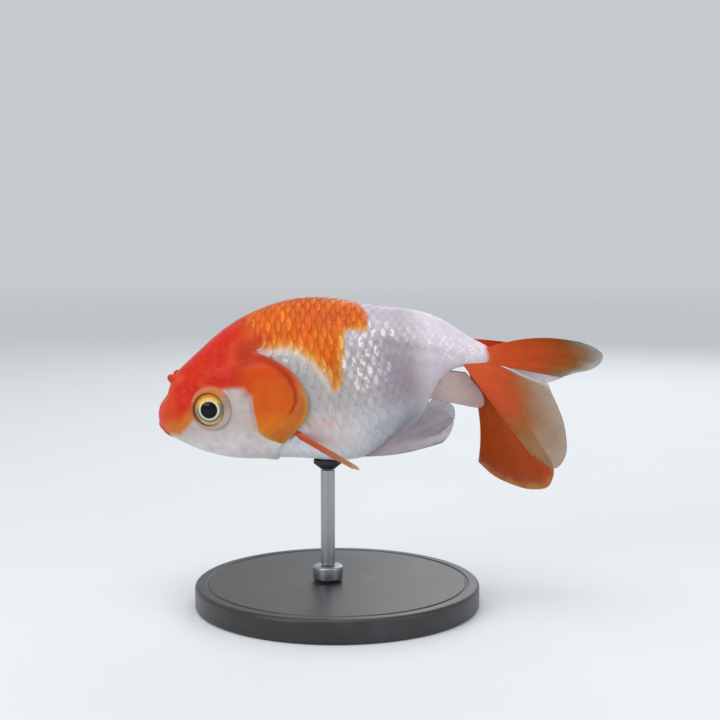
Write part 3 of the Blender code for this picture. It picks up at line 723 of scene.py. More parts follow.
def makeSkin():
    # the body's surface moved along its normal by skinHeight, with its colours on the points
    x, turn = crowdedGrid()
    angle = angleAt(x, turn)
    points = bodyPoint(x, angle)
    gap, stretch, slit = gillField(x, angle)
    inside = gap / stretch
    colour, lid, height = np.zeros(points.shape), np.zeros(points.shape), np.zeros(x.shape)
    values = {"EyeAway": np.full(x.shape, farOff), "LidAway": np.full(x.shape, farOff),
              "LidShade": np.zeros(x.shape)}
    for side in (-1, 1):
        on = (np.where(turn % 1.0 < 0.5, 1, -1) == side)
        spots = points[on]
        away, lidAway, tailward, up = eyeField(spots, side)
        height[on] = skinHeight(spots, x[on], angle[on], side, inside[on], slit[on], away, lidAway, up)
        colour[on], lid[on] = skinColour(spots, side, inside[on], slit[on], tailward, up)
        values["EyeAway"][on], values["LidAway"][on] = away, lidAway
        # how deep the painted shadow under the lid is: strongest in front and below
        values["LidShade"][on] = 0.25 + 0.40 * ease(0.2, -0.6, tailward) * ease(0.7, 0.2, up)
    raised = points + bodyNormal(x, angle) * height[..., None]
    rows, columns = x.shape
    snout = np.array([[-skin["headLevel"], 0.0, body["backLine"][0][1]]])
    tailEnd = np.array([[bodyLength + skin["coatLevel"], 0.0, body["widestLevel"][-1][1]]])
    allPoints = np.concatenate([raised.reshape(-1, 3), snout, tailEnd])
    colours = {}
    for key, part in (("Tint", colour), ("LidTint", lid)):
        colours[key] = np.concatenate([part.reshape(-1, 3), part[0, :1], part[-1, :1]])
    values["Bare"] = ease(27.0, 22.0, x)
    values = {key: np.concatenate([part.ravel(), part[0, :1], part[-1, :1]]) for key, part in values.items()}
    return makePiece("skin", toFrame(allPoints), closedGrid(rows, columns), skinMaterial(),
                     ("head", "upper_lip", "lower_lip", "nostril_left", "nostril_right", "gill_cover_left",
                      "gill_cover_right", "trunk", "tail_base"), colours, values)


def skinMaterial():
    # colour: the painted tint, or the lid's tint within its circle, with painted shadow where the lid meets
    # the ball and a faint painted shade line round the lid's outer slope, mottled by large noise and by
    # sparse pale flecks; bump: fine grain, and pimples on the bare head
    made, w = newMaterial("living skin", {"Subsurface Weight": 0.10, "Subsurface Radius": (1.0, 0.45, 0.3),
                                          "Subsurface Scale": 0.0010, "Coat Roughness": 0.16, "IOR": 1.4,
                                          "Specular IOR Level": 0.18, "Coat Weight": 0.08})
    where = w.place()
    blotch = w.noise(where, 420.0, 3.0)
    grain = w.noise(where, 1900.0, 3.0, 0.6)
    lidMask = 1 - w.value("LidAway").ease(4.42, 4.72)
    tint = lidMask.tint(w.colour("Tint"), w.colour("LidTint"))
    # painted shadow where the lid meets the ball
    lidShadow = (1 - w.value("EyeAway").ease(3.36, 3.85)) * w.value("LidShade")
    tint = lidShadow.tint(tint, rgba((104, 52, 28)))
    # a faint painted shade line round the lid's outer slope
    around = w.value("LidAway").ease(4.22, 4.42) * (1 - w.value("LidAway").ease(4.50, 4.72))
    tint = (around * 0.30).tint(tint, rgba((120, 84, 84)))
    darker = tint.scaled((0.80, 0.70, 0.66, 1.0))
    mottled = (blotch.ease(0.42, 0.68) * 0.40).tint(tint, darker)
    flecks = grain.ease(0.60, 0.74) * blotch.ease(0.5, 0.62)
    lighter = tint.scaled((1.25, 1.6, 1.6, 1.0))
    mottled = (flecks * 0.22).tint(mottled, lighter)
    cells = {"Vector": where, "Scale": 1150.0, "Smoothness": 0.6}
    pimples = w.add("TexVoronoi", {"feature": "SMOOTH_F1"}, cells)
    height = (1 - pimples) * w.value("Bare") * 0.5 + grain * 0.5
    return feed(made, {"Base Color": mottled, "Roughness": 0.40 + (blotch - 0.5) * 0.3,
                       "Normal": w.bump(height, 0.40, 0.00012)})


print("skin")
makeSkin()

# scales: overlapping round plates in staggered rows, joined into one mesh for each side
scales = {
    "rowsAround": 42, "firstX": 21.6, "lastX": 69.6,
    "pitch": (
        (20.0, 1.7), (25.0, 2.1), (31.0, 2.15), (36.0, 2.05), (46.0, 1.95), (56.0, 1.6),
        (64.0, 1.15), (69.0, 1.0)),
    "across": 8, "along": 7, "rimReach": 0.85, "rootReach": 0.75, "widen": 1.10,
    "lift": 0.12, "sink": 0.85, "sideSink": 1.05, "rootDepth": 0.14, "stagger": 0.06,
    # no scale stands before startAt (degrees round from the back, and x), or within finClear of a
    # pectoral fin's root
    "startAt": ((0, 21.8), (30, 22.2), (55, 24.0), (75, 26.0), (120, 26.0), (150, 24.6), (180, 24.6)),
    "finRoot": (29.7, 10.4, -7.9), "finClear": 1.3, "bakePatch": 0.003, "seed": 11,
}


def scaleRoots():
    # rows lie at even shares of the girth; along a row, x advances by one pitch, and every other row is
    # half a pitch further on
    steps = np.linspace(scales["firstX"], scales["lastX"], 800)
    pitches = tableAt(scales["pitch"], 0.5 * (steps[1:] + steps[:-1]))
    count = np.concatenate([[0.0], np.cumsum(np.diff(steps) / pitches)])
    row, column = np.meshgrid(np.arange(scales["rowsAround"]), np.arange(int(count[-1]) + 1), indexing="ij")
    place = column + 0.5 * (row % 2)
    x = np.interp(place.ravel(), count, steps)
    turn = ((row + 0.5) / scales["rowsAround"]).ravel()
    keep = place.ravel() <= count[-1]
    return x[keep], turn[keep]


def makeScales():
    # each scale is a grid of u (root to rim) by v (side to side) closed by a point under its root; it stands
    # lift * ((1 + sink) u^1.15 (1 - 0.10 v^2) - sink) off its bed, less a share at its rim and its sides
    x, turn = scaleRoots()
    draws = np.random.default_rng(scales["seed"])
    jitter = draws.normal(size=(4, len(x)))
    x = x + scales["stagger"] * jitter[0]
    centre = onBody(x, turn)
    side = np.where(turn < 0.5, 1, -1)
    gap, stretch, slit = gillField(x, angleAt(x, turn))
    degrees = np.degrees(np.abs(angleAt(x, turn)))
    rootX, rootY, rootZ = scales["finRoot"]
    pectoral = np.linalg.norm(centre - np.stack([0 * x + rootX, rootY * side, 0 * x + rootZ], -1), axis=-1)
    keep = (x > tableAt(scales["startAt"], degrees)) & ((gap < -0.1 * stretch) | (slit < 0.3))
    keep = keep & (pectoral > scales["finClear"])
    x, turn, side, jitter = x[keep], turn[keep], side[keep], jitter[:, keep]
    print("scales:", len(x))
    pitch, girth = tableAt(scales["pitch"], x), 2 * halfGirth(x)
    rowGap = girth / scales["rowsAround"]
    u = np.linspace(0, 1, scales["along"])[None, :, None]
    v = np.linspace(-1, 1, scales["across"])[None, None, :]
    # outline: the rim's reach falls as 1.12 (1 - |v|^2.3)^0.5 - 0.12 towards the sides
    rim = scales["rimReach"] * (1.12 * np.sqrt(np.clip(1 - np.abs(v) ** 2.3, 0, 1)) - 0.12)
    ahead = pitch[:, None, None] * (-scales["rootReach"] + u * (rim + scales["rootReach"]))
    across = rowGap[:, None, None] * scales["widen"] * v * (0.62 + 0.38 * np.sin(0.5 * math.pi * u))
    warp = 0.12 * softNoise(centre[keep], 1.6, 2) + 0.10 * jitter[2]
    rootShape = coatColour(x, centre[keep][:, 2], side, warp)[1]
    orange = ease(0.3, -0.5, rootShape)
    crisp = np.maximum(1 - 0.55 * ease(44.0, 54.0, x), orange)     # the rear body's scales are fainter
    lift = scales["lift"] * np.minimum(1.0, 0.35 + rowGap / 2.8) * (1 + 0.10 * jitter[1])
    lift = (lift * (0.68 + 0.42 * orange) * crisp)[:, None, None]
    fadeIn = ease(21.0, 27.5, x)[:, None, None]
    lift = lift * (0.3 + 0.7 * fadeIn)
    height = lift * ((1 + scales["sink"]) * u ** 1.15 * (1 - 0.10 * v ** 2) - scales["sink"])
    height = height - lift * (0.16 * ease(0.85, 1.0, u) + scales["sideSink"] * np.abs(v) ** 4 * u)
    spotX = x[:, None, None] + ahead
    spotTurn = turn[:, None, None] + across / girth[:, None, None]
    spotX, spotTurn, height = np.broadcast_arrays(spotX, spotTurn, height)
    top = onBody(spotX, spotTurn, bedLevel(spotX) + height)
    under = onBody(x, turn, bedLevel(x) - scales["rootDepth"])
    # colour: the marking at each point, with its edge and its brightness varied from scale to scale
    warp = 0.12 * softNoise(top, 1.6, 2) + 0.10 * jitter[2][:, None, None]
    tint = coatColour(top[..., 0], top[..., 2], side[:, None, None] + 0 * warp, warp)[0]
    tint = tint * np.clip(1 + (0.03 + 0.04 * orange) * jitter[3], 0.85, 1.15)[:, None, None, None]
    # how strong a scale's painted glint is, most on the upper flank, along the back and on the tail base; on
    # orange scales, how strong its painted highlight is
    z = onBody(x + 0.35 * pitch, turn)[:, 2]
    level = dippedLevel(x, z)
    shine = 0.08 + 1.1 * bell(x, 45.0, 3.6) * bell(z, 4.4, 5.2)
    shine = shine + 0.75 * bell(level, 10.0, 1.2) * ease(43.0, 47.0, x)
    shine = shine + 0.8 * ease(60.0, 63.0, x) * bell(level, 7.6, 2.4)
    shine = shine + 0.8 * bell(rootShape, 0.9, 0.9) * ease(34.0, 30.0, x)
    shine = shine * (1 - orange) * (1 - 0.9 * bell(x, 54.0, 3.8) * bell(z, -1.0, 5.0))
    shine = np.clip(shine * (1 + 0.45 * jitter[1]), 0.0, 1.0)
    shine = shine + orange * np.clip(0.5 + 0.45 * jitter[2], 0.0, 1.0)
    rows, columns = scales["along"], scales["across"]
    each = rows * columns + 1
    count = len(x)
    points = np.concatenate([top.reshape(count, -1, 3), under[:, None, :]], axis=1)
    tint = np.concatenate([tint.reshape(count, -1, 3), tint[:, 0, :1]], axis=1)
    quads = gridFaces(rows, columns, False)
    border = gridBorder(rows, columns)
    fan = np.stack([np.full(len(border), each - 1), np.roll(border, -1), border], axis=1)
    growth = np.append(np.broadcast_to(u + 0 * v, (1, rows, columns)).ravel(), 0.0)
    sideways = np.append(np.broadcast_to(v + 0 * u, (1, rows, columns)).ravel(), 0.0)
    patch = np.stack([growth - 0.5, 0.5 * sideways], axis=1)
    material = scaleMaterial()
    for name, one in (("scales_left", -1), ("scales_right", 1)):
        on = side == one
        number = on.sum()
        shift = (np.arange(number) * each)[:, None, None]
        faces = [(quads[None] + shift).reshape(-1, 4), (fan[None] + shift).reshape(-1, 3)]
        values = {"Growth": np.tile(growth, number), "Flank": np.tile(np.abs(sideways), number),
                  "Shine": np.repeat(shine[on], each), "Crisp": np.repeat(crisp[on], each)}
        piece = makePiece(name, toFrame(points[on].reshape(-1, 3)), faces, material, (),
                          {"Tint": tint[on].reshape(-1, 3)}, values, 55.0)
        # OFBake: a small patch for each scale, at its root's place on the body unrolled along and around
        root = np.stack([0.02 + 0.96 * x[on] / bodyLength, 0.02 + 0.96 * turn[on]], axis=1)
        spot = (root[:, None, :] + scales["bakePatch"] * patch[None]).reshape(-1, 2)
        layer = piece.data.uv_layers.new(name="OFBake")
        corner = np.zeros(len(piece.data.loops), np.int32)
        piece.data.loops.foreach_get("vertex_index", corner)
        layer.data.foreach_set("uv", spot[corner].astype(np.float32).ravel())


def scaleMaterial():
    # colour: the scale's tint, multiplied by itself towards its root (its own deeper tone and painted shade
    # under the rim of the scale in front) and at its very edge (a painted shadow line), with a painted
    # highlight just inside the edge and, on orange ones, in the middle, and a painted glint on the pale
    # shining ones;
    # bump: growth rings from root to rim
    made, w = newMaterial("scale pearl", {"Coat Weight": 0.06, "Coat Roughness": 0.14, "IOR": 1.4,
                                          "Specular IOR Level": 0.14})
    where = w.place()
    growth, flank, shine = w.value("Growth"), w.value("Flank"), w.value("Shine")
    patchy = w.noise(where, 900.0, 3.0)
    tint = w.colour("Tint")
    split = w.add("SeparateColor", {}, {0: tint})
    warm = 1 - Wire(w.tree, split.socket.node.outputs[2]) / (split + 0.01)
    crisp = w.value("Crisp")
    # painted shade near the root, under the rim of the scale in front, with some of the scale's own deeper
    # tone
    rootward = (1 - growth.ease(0.44, 0.74)) * (0.14 + warm * 0.44) * crisp
    # a painted shadow line at the very edge of orange scales
    edge = growth.ease(0.93, 0.98) * warm * 0.35
    colour = tint.scaled(tint, rootward + edge)
    # a painted highlight in the middle of orange scales
    middle = growth.ease(0.66, 0.82) * (1 - growth.ease(0.90, 0.97)) * (1 - flank.ease(0.40, 0.85))
    middle = middle * patchy.ease(0.42, 0.60)
    highlightTint = tint.scaled((1.22, 2.0, 2.4, 1.0))
    colour = (middle * warm * (0.15 + shine * 0.75)).tint(colour, highlightTint)
    # a painted highlight along a thin band just inside the rim
    lighter = tint.scaled((1.24, 1.26, 1.26, 1.0))
    rim = growth.ease(0.86, 0.92) * (1 - growth.ease(0.94, 0.99)) * (0.50 - warm * 0.35) * crisp
    colour = rim.tint(colour, lighter)
    # a painted glint on the pale shining scales
    glint = growth.ease(0.50, 0.64) * (1 - growth.ease(0.82, 0.93)) * (1 - flank.ease(0.35, 0.80))
    glint = glint * shine * (1 - warm) * patchy.ease(0.40, 0.56)
    colour = (glint * 0.8).tint(colour, rgba((246, 238, 238)))
    rings = w.maths("SINE", growth * 60.0) * 0.5 + patchy
    return feed(made, {"Base Color": colour, "Roughness": 0.44 - glint * 0.18 + (patchy - 0.5) * 0.25,
                       "Normal": w.bump(rings, 0.20, 0.00004)})


print("scales")
makeScales()

# eyes: a closed ball each, painted by the distance from its axis
eyePaint = {
    "rows": 72, "sides": 112, "shrink": 0.03,
    "pupil": 1.80, "ring": 2.18, "iris": 3.20, "pupilShift": 0.30,
}


def makeEyes():
    for name, side in (("left", -1), ("right", 1)):
        # an ellipsoid: polar angle from the outer pole, and a spin round the eye's axis
        polar = math.pi * np.arange(1, eyePaint["rows"]) / eyePaint["rows"]
        spin = 2 * math.pi * np.arange(eyePaint["sides"]) / eyePaint["sides"]
        polar, spin = np.meshgrid(polar, spin, indexing="ij")
        centre, outward, tailward = eyeAxes(side)
        radii = np.array(eye["radii"]) - eyePaint["shrink"]
        local = np.stack([radii[0] * np.sin(polar) * np.cos(spin), radii[2] * np.sin(polar) * np.sin(spin),
                          radii[1] * np.cos(polar)], axis=-1)
        poles = np.array([[0, 0, radii[1]], [0, 0, -radii[1]]])
        local = np.concatenate([local.reshape(-1, 3), poles])
        up = np.array([0.0, 0.0, 1.0])
        points = centre + local[:, :1] * tailward + local[:, 1:2] * up + local[:, 2:] * outward
        makePiece("eyeball_" + name, toFrame(points), closedGrid(eyePaint["rows"] - 1, eyePaint["sides"]),
                  eyeMaterial(name, centre, outward, tailward), ("eye_" + name,))


def eyeMaterial(name, centre, outward, tailward):
    # a flat view of the eye in millimetres, seen along its axis: black pupil; pale ring, open above; iris
    # yellow to orange above, grey-green at its sides, gold below; brown edge; fine streaks run outwards
    made, w = newMaterial("eye " + name, {"Roughness": 0.10, "Coat Weight": 0.15, "Coat Roughness": 0.03,
                                          "IOR": 1.36, "Specular IOR Level": 0.25})
    upward = np.array([0.0, 0.0, 1.0])
    axes = Matrix([tiltMatrix @ way for way in (tailward, upward, outward)]).transposed()
    flip = 1.0
    if axes.determinant() < 0:
        axes.col[0] = -axes.col[0]
        flip = -1.0
    local = w.add("Mapping", {"vector_type": "TEXTURE"},
                  {"Vector": w.place(), "Location": Vector(toFrame(centre)), "Rotation": axes.to_euler(),
                   "Scale": (mm, mm, mm)})
    split = w.add("SeparateXYZ", {}, {0: local})
    across = (split - eyePaint["pupilShift"] * flip) * flip
    up = Wire(w.tree, split.socket.node.outputs[1])
    away = w.maths("SQRT", across * across + up * up * 1.06)
    high = up / (away + 0.01)
    streakAt = w.add("CombineXYZ", {}, {0: across / (away + 0.01) * 4.0, 1: high * 4.0, 2: away * 0.35})
    streak = w.noise(streakAt, 2.2, 4.0, 0.65)
    low = away.ease(2.55, 2.8) * (1 - high.ease(-0.85, -0.40))
    low = low.tint(rgba((140, 134, 108)), rgba((206, 186, 104)))
    top = away.ease(2.45, 2.95).tint(rgba((228, 186, 66)), rgba((202, 122, 56)))
    iris = high.ease(0.10, 0.62).tint(low, top)
    iris = (streak.ease(0.46, 0.64) * 0.35).tint(iris, rgba((112, 82, 40)))
    ring = eyePaint["ring"]
    whiteRing = (1 - away.ease(ring - 0.06, ring + 0.10)) * (1 - high.ease(0.30, 0.85) * 0.55)
    iris = (whiteRing * 0.92).tint(iris, rgba((212, 206, 198)))
    shade = away.ease(2.26, 2.36) * (1 - away.ease(2.42, 2.58)) * (1 - high.ease(-0.4, 0.2))
    iris = (shade * 0.65).tint(iris, rgba((84, 74, 58)))
    colour = away.ease(eyePaint["pupil"] - 0.05, eyePaint["pupil"] + 0.05).tint(rgba((3, 3, 5)), iris)
    colour = away.ease(eyePaint["iris"] - 0.02, eyePaint["iris"] + 0.18).tint(colour, rgba((120, 74, 40)))
    return feed(made, {"Base Color": colour})


print("eyes")
makeEyes()

# fins: fans of branching rays, each a closed thin sheet that thins and clears towards its edge.
# bow, stops and sheer: two rows for the first and last ray; colours and opacities at shares of the length;
# web: a colour for the last rays, from a share across and a share along
fins = {
    "pectoral_fin_left": dict(
        root=((29.5, -10.9, -6.7), (29.0, -10.2, -7.3)),
        tips=((41.5, -18.2, -14.5), (42.0, -16.5, -15.8), (41.0, -14.2, -16.1), (38.8, -12.0, -15.2)),
        thick=1.1, bow=((0.0, 0.0, 0.25), (0.0, 0.0, -0.25)), rays=14, ripple=0.06,
        stops=((0.0, (204, 82, 50)), (0.45, (214, 100, 66)), (0.7, (218, 134, 92)), (1.0, (220, 172, 120))),
        sheer=((0.0, 0.98), (0.6, 0.94), (0.85, 0.75), (1.0, 0.5)), slot="fin_orange"),
    "pelvic_fin_left": dict(
        root=((41.0, -3.0, -15.3), (44.6, -3.2, -13.6)),
        tips=((57.4, -7.4, -14.9), (60.6, -7.8, -12.9), (61.4, -8.0, -9.4), (57.4, -8.2, -7.2)),
        thick=0.8, bow=((0.0, -1.9, -0.4), (0.0, -1.9, -0.4)), rays=16, ripple=0.2,
        stops=((0.0, (186, 178, 186)), (0.5, (164, 152, 160)), (1.0, (160, 150, 156))),
        sheer=((0.0, 0.95), (0.4, 0.75), (1.0, 0.42)), slot="fin_clear"),
    "anal_fin_left": dict(
        root=((57.0, -0.85, -6.0), (61.6, -0.85, -0.9)),
        tips=((66.2, -1.2, -9.4), (68.0, -1.25, -9.2), (68.0, -1.2, -6.6), (66.6, -1.1, -3.9),
              (65.4, -1.0, -2.0)),
        thick=0.7, bow=((0.3, 0.0, -0.1), (0.0, 0.0, 0.0)), rays=14, ripple=0.06,
        stops=((0.0, (212, 190, 190)), (0.4, (204, 178, 176)), (1.0, (196, 172, 170))),
        sheer=((0.0, 0.95), (0.5, 0.84), (1.0, 0.66)), slot="fin_clear"),
    "tail_upper_left": dict(
        root=((69.0, -0.95, 2.0), (70.8, -0.95, -0.9)),
        tips=((89.2, -4.4, 1.0), (92.6, -5.0, -1.2), (93.4, -5.3, -3.0), (91.6, -5.4, -4.6),
              (88.0, -5.4, -5.2), (84.4, -5.2, -5.5)),
        thick=0.9, bow=((0.0, 0.3, 1.6), (0.0, 0.3, -0.15)), rays=26, ripple=0.16,
        stops=((0.0, (212, 98, 46)), (0.2, (206, 76, 30)), (0.55, (176, 68, 18)), (0.72, (152, 74, 18)),
               (0.85, (138, 94, 44)), (1.0, (128, 122, 106))),
        sheer=((0.0, 0.98), (0.70, 0.96), (0.87, 0.72), (1.0, 0.42)), slot="fin_orange"),
    "tail_lower_left": dict(
        root=((65.0, -1.1, 0.2), (70.7, -0.95, -0.6)),
        tips=((76.2, -11.2, -19.2), (79.9, -13.6, -22.3), (82.7, -13.4, -19.6), (83.4, -11.2, -14.0),
              (82.2, -7.4, -8.6), (81.6, -4.3, -6.2)),
        thick=0.9, bow=((-0.2, 0.9, -0.3), (0.0, 0.3, -0.1)), rays=30, ripple=0.22,
        stops=((0.0, (206, 90, 42)), (0.2, (200, 74, 30)), (0.46, (176, 70, 20)), (0.62, (158, 94, 44)),
               (0.76, (154, 116, 78)), (1.0, (152, 122, 92))),
        sheer=((0.0, 0.98), (0.48, 0.96), (0.64, 0.80), (1.0, 0.55)), slant=0.16,
        web=((196, 176, 182), 0.93, 0.40), slot="fin_orange"),
    "tail_upper_right": dict(
        root=((66.4, 0.95, 4.9), (70.4, 0.95, -0.4)),
        tips=((82.0, 5.2, -0.3), (87.6, 8.0, -2.4), (88.4, 8.4, -5.4), (85.2, 7.2, -7.1), (80.9, 5.6, -7.7)),
        thick=0.9, bow=((0.0, -0.3, 0.5), (0.0, -0.3, 0.3)), rays=26, ripple=0.16,
        stops=((0.0, (204, 56, 26)), (0.45, (190, 66, 28)), (0.7, (160, 84, 36)), (1.0, (140, 118, 92))),
        sheer=((0.0, 0.98), (0.6, 0.92), (1.0, 0.5)),
        web=((190, 178, 190), 0.80, 0.35), slot="fin_orange"),
    "tail_lower_right": dict(
        root=((65.6, 1.1, -0.2), (70.2, 0.95, -0.4)),
        tips=((64.4, 12.4, -23.2), (68.4, 13.4, -27.6), (74.2, 13.6, -31.0), (78.1, 13.4, -31.2),
              (79.9, 13.0, -28.8), (80.2, 12.4, -25.6), (78.0, 11.0, -22.6)),
        thick=0.9, bow=((1.5, -0.8, 0.0), (0.0, -0.8, 0.0)), rays=30, ripple=0.18,
        stops=((0.0, (206, 72, 28)), (0.3, (184, 74, 20)), (0.93, (180, 72, 18)), (1.0, (204, 130, 60))),
        sheer=((0.0, 0.98), (0.85, 0.96), (1.0, 0.80)), slot="fin_orange"),
}
finSheet = {
    "across": 170, "along": 54, "membrane": 0.10, "rayHeight": 0.035, "rayWidth": 0.12,
    "branchAt": 0.42, "scallop": 0.006, "rimTint": (206, 150, 110), "farPectoralLift": 2.4,
}


def makeFin(name, shape, material):
    # middle = a line from root to tip for each ray, bowed by 4s(1 - s) and rippled across; the two faces
    # stand off it by half the thickness, with a ridge along each ray that forks past branchAt
    t = np.linspace(0, 1, finSheet["across"])
    s = np.linspace(0, 1, finSheet["along"])
    root = smoothCurve(np.linspace(0, 1, len(shape["root"])), shape["root"], t)
    tips = smoothCurve(np.linspace(0, 1, len(shape["tips"])), shape["tips"], t)
    bow = np.array(shape["bow"][0]) * (1 - t[:, None]) + np.array(shape["bow"][1]) * t[:, None]
    phase = shape["rays"] * t[:, None]
    fork = 0.24 * ease(finSheet["branchAt"], 0.95, s)[None, :]
    offset = np.abs(phase - np.floor(phase) - 0.5)
    ridge = bell(np.abs(offset - fork), 0.0, finSheet["rayWidth"])
    reach = s[None, :] * (1 - finSheet["scallop"] * (1 - ridge[:, -1:]) * s[None, :] ** 4)
    middle = root[:, None, :] * (1 - reach[..., None]) + tips[:, None, :] * reach[..., None]
    middle = middle + bow[:, None, :] * (4 * s * (1 - s))[None, :, None]
    normal = np.cross(np.gradient(middle, axis=0), np.gradient(middle, axis=1))
    normal /= np.linalg.norm(normal, axis=2, keepdims=True)
    wave = np.sin(2 * math.pi * (2.3 * t[:, None] + 0.35 * s[None, :]))
    wave = wave + 0.4 * np.sin(2 * math.pi * 5.1 * t[:, None] + 1.0)
    middle = middle + normal * (shape["ripple"] * wave * (s ** 1.6)[None, :])[..., None]
    sheet = finSheet["membrane"] + (shape["thick"] - finSheet["membrane"]) * np.exp(-s / 0.16)[None, :]
    ray = finSheet["rayHeight"] * (1 - 0.55 * s)[None, :] * ridge * ease(0.0, 0.12, s)[None, :]
    sides = np.clip(np.minimum(t, 1 - t) / 0.02, 0.25, 1.0)[:, None]
    half = (0.5 * sheet + ray) * sides
    front = (middle + normal * half[..., None]).reshape(-1, 3)
    back = (middle - normal * half[..., None]).reshape(-1, 3)
    rows, columns = finSheet["across"], finSheet["along"]
    count = rows * columns
    quads = gridFaces(rows, columns, False)
    border = np.roll(gridBorder(rows, columns)[::-1], 1)
    nextOne = np.roll(border, -1)
    strip = np.stack([nextOne, border, border + count, nextOne + count], axis=1)
    faces = [np.concatenate([quads, quads[:, ::-1] + count, strip[:, ::-1]])]
    # colour: the stops along the rays, patchy, with the rays a little darker and a pale first edge
    reached = s[None, :] + 0.03 * softNoise(middle, 2.2, 7) + 0.02 * softNoise(middle, 0.9, 8)
    slant = shape.get("slant", 0.0) * (t[:, None] - 0.35) * np.sin(math.pi * s)[None, :]
    reached = np.clip(reached + slant, 0.0, 1.0)
    places = [stop[0] for stop in shape["stops"]]
    tints = np.array([linear(stop[1]) for stop in shape["stops"]])
    colour = np.stack([np.interp(reached, places, tints[:, channel]) for channel in range(3)], axis=-1)
    sheer = tableAt(shape["sheer"], reached)
    if "web" in shape:
        webTint, fromT, fromS = shape["web"]
        web = ease(fromT - 0.06, fromT + 0.04, t[:, None]) * ease(fromS - 0.15, fromS + 0.15, s[None, :])
        colour = blend(colour, linear(webTint), web)
        sheer = sheer * (1 - 0.30 * web)
    colour = colour * (1 - 0.26 * (ridge * ease(0.0, 0.1, s) * (1 - 0.4 * s))[..., None])
    firstEdge = ease(0.012, 0.0, t)[:, None] * ease(0.1, 0.4, s)[None, :]
    colour = blend(colour, linear(finSheet["rimTint"]), 0.6 * firstEdge)
    sheer = np.clip(sheer + 0.12 * ridge * (1 - sheer) + 0.2 * firstEdge, 0.0, 1.0)
    both = np.concatenate([colour.reshape(-1, 3)] * 2)
    return makePiece("fin_" + name, toFrame(np.concatenate([front, back])), faces, material, (name,),
                     {"Tint": both}, {"Sheer": np.concatenate([sheer.ravel()] * 2)})


def finMaterial():
    # colour: the fin's tint with noise; alpha: the sheer value; bump: faint grain
    made, w = newMaterial("fin web", {"Coat Weight": 0.08, "Coat Roughness": 0.2, "IOR": 1.36,
                                      "Specular IOR Level": 0.2})
    where = w.place()
    cloud = w.noise(where, 420.0, 3.0)
    fine = w.noise(where, 2400.0, 2.0)
    tint = w.colour("Tint")
    darker = tint.scaled((0.86, 0.80, 0.76, 1.0))
    colour = (cloud.ease(0.42, 0.7) * 0.5).tint(tint, darker)
    return feed(made, {"Base Color": colour, "Alpha": w.value("Sheer") + (fine - 0.5) * 0.08,
                       "Roughness": 0.42 + cloud * 0.2, "Normal": w.bump(fine + cloud * 0.5, 0.15, 0.00005)})


def makeFins():
    # the tail's four lobes are given one by one; the other fins are also mirrored to the right side
    material = finMaterial()
    for name, shape in fins.items():
        makeFin(name, shape, material)
        if name.startswith("tail"):
            continue
        other = dict(shape)
        for key in ("root", "tips"):
            other[key] = tuple((x, -y, z) for x, y, z in shape[key])
        other["bow"] = tuple((x, -y, z) for x, y, z in shape["bow"])
        if name.startswith("pectoral"):
            other["tips"] = tuple((x, y, z + finSheet["farPectoralLift"]) for x, y, z in other["tips"])
        makeFin(name.replace("left", "right"), other, material)


print("fins")
makeFins()

# stand: turned pieces that fill their own boxes in the frame
stand = {
    "sides": 160, "bevel": 0.8, "collarBevel": 0.45, "black": (26, 26, 28),
    # the base's groove: in from its rim, and down from its top
    "groove": ((2.2, 0.0), (2.45, 0.22), (2.75, 0.22), (3.0, 0.0)),
}


def turnedPiece(name, node, profile, material):
    # a profile of (radius, height) pairs turned about the node's own upright axis, closed at both ends
    low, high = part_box(node)
    middle = (low + high) / 2
    profile = np.array(profile)
    spin = 2 * math.pi * np.arange(stand["sides"]) / stand["sides"]
    radius, height = profile[1:-1, :1], profile[1:-1, 1:]
    ring = np.stack([middle.x / mm + radius * np.cos(spin), middle.y / mm + radius * np.sin(spin),
                     height + 0 * spin], axis=-1)
    ends = np.array([[middle.x / mm, middle.y / mm, profile[end, 1]] for end in (0, -1)])
    points = np.concatenate([ring.reshape(-1, 3), ends]) * mm
    return makePiece(name, points, closedGrid(*ring.shape[:2]), material, (node,), sharpDeg=40.0)


def roundedRim(radius, low, high, bevel):
    # bottom edge, wall and top edge of a disc, with a quarter round at each edge
    arc = np.linspace(0, 0.5 * math.pi, 7)
    lower = np.stack([radius - bevel + bevel * np.sin(arc), low + bevel - bevel * np.cos(arc)], axis=1)
    upper = np.stack([radius - bevel + bevel * np.cos(arc), high - bevel + bevel * np.sin(arc)], axis=1)
    return np.concatenate([lower, upper])


def nodeSize(node):
    # radius, bottom and top of an upright round node, in millimetres
    low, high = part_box(node)
    return (high.x - low.x) / 2 / mm, low.z / mm, high.z / mm


def makeStand():
    radius, low, high = nodeSize("stand_base")
    rim = roundedRim(radius, low, high, stand["bevel"])
    groove = [(radius - inward, high - down) for inward, down in stand["groove"]]
    base = np.concatenate([[(0, low), (0.5 * radius, low)], rim, groove, [(0.35 * radius, high), (0, high)]])
    turnedPiece("display_base", "stand_base", base, lacquerMaterial())
    radius, low, high = nodeSize("stand_collar")
    rim = roundedRim(radius, low, high, stand["collarBevel"])
    collar = np.concatenate([[(0, low)], rim, [(0.4 * radius, high), (0, high)]])
    steel = steelMaterial()
    turnedPiece("display_collar", "stand_collar", collar, steel)
    radius, low, high = nodeSize("stand_rod")
    rod = [(0, low), (radius, low), (radius, low + 1), (radius, high - 1), (radius, high), (0, high)]
    turnedPiece("display_rod", "stand_rod", rod, steel)


def lacquerMaterial():
    # near-black satin coat: slight dusty patches, and fine orange-peel bump
    made, w = newMaterial("satin black", {"Coat Weight": 0.3, "Coat Roughness": 0.3})
    where = w.place()
    dust, peel = w.noise(where, 90.0, 4.0), w.noise(where, 1600.0, 2.0)
    colour = dust.ease(0.45, 0.75).tint(rgba(stand["black"]), rgba((44, 44, 47)))
    return feed(made, {"Base Color": colour, "Roughness": 0.34 + dust * 0.22,
                       "Normal": w.bump(peel, 0.25, 0.00005)})


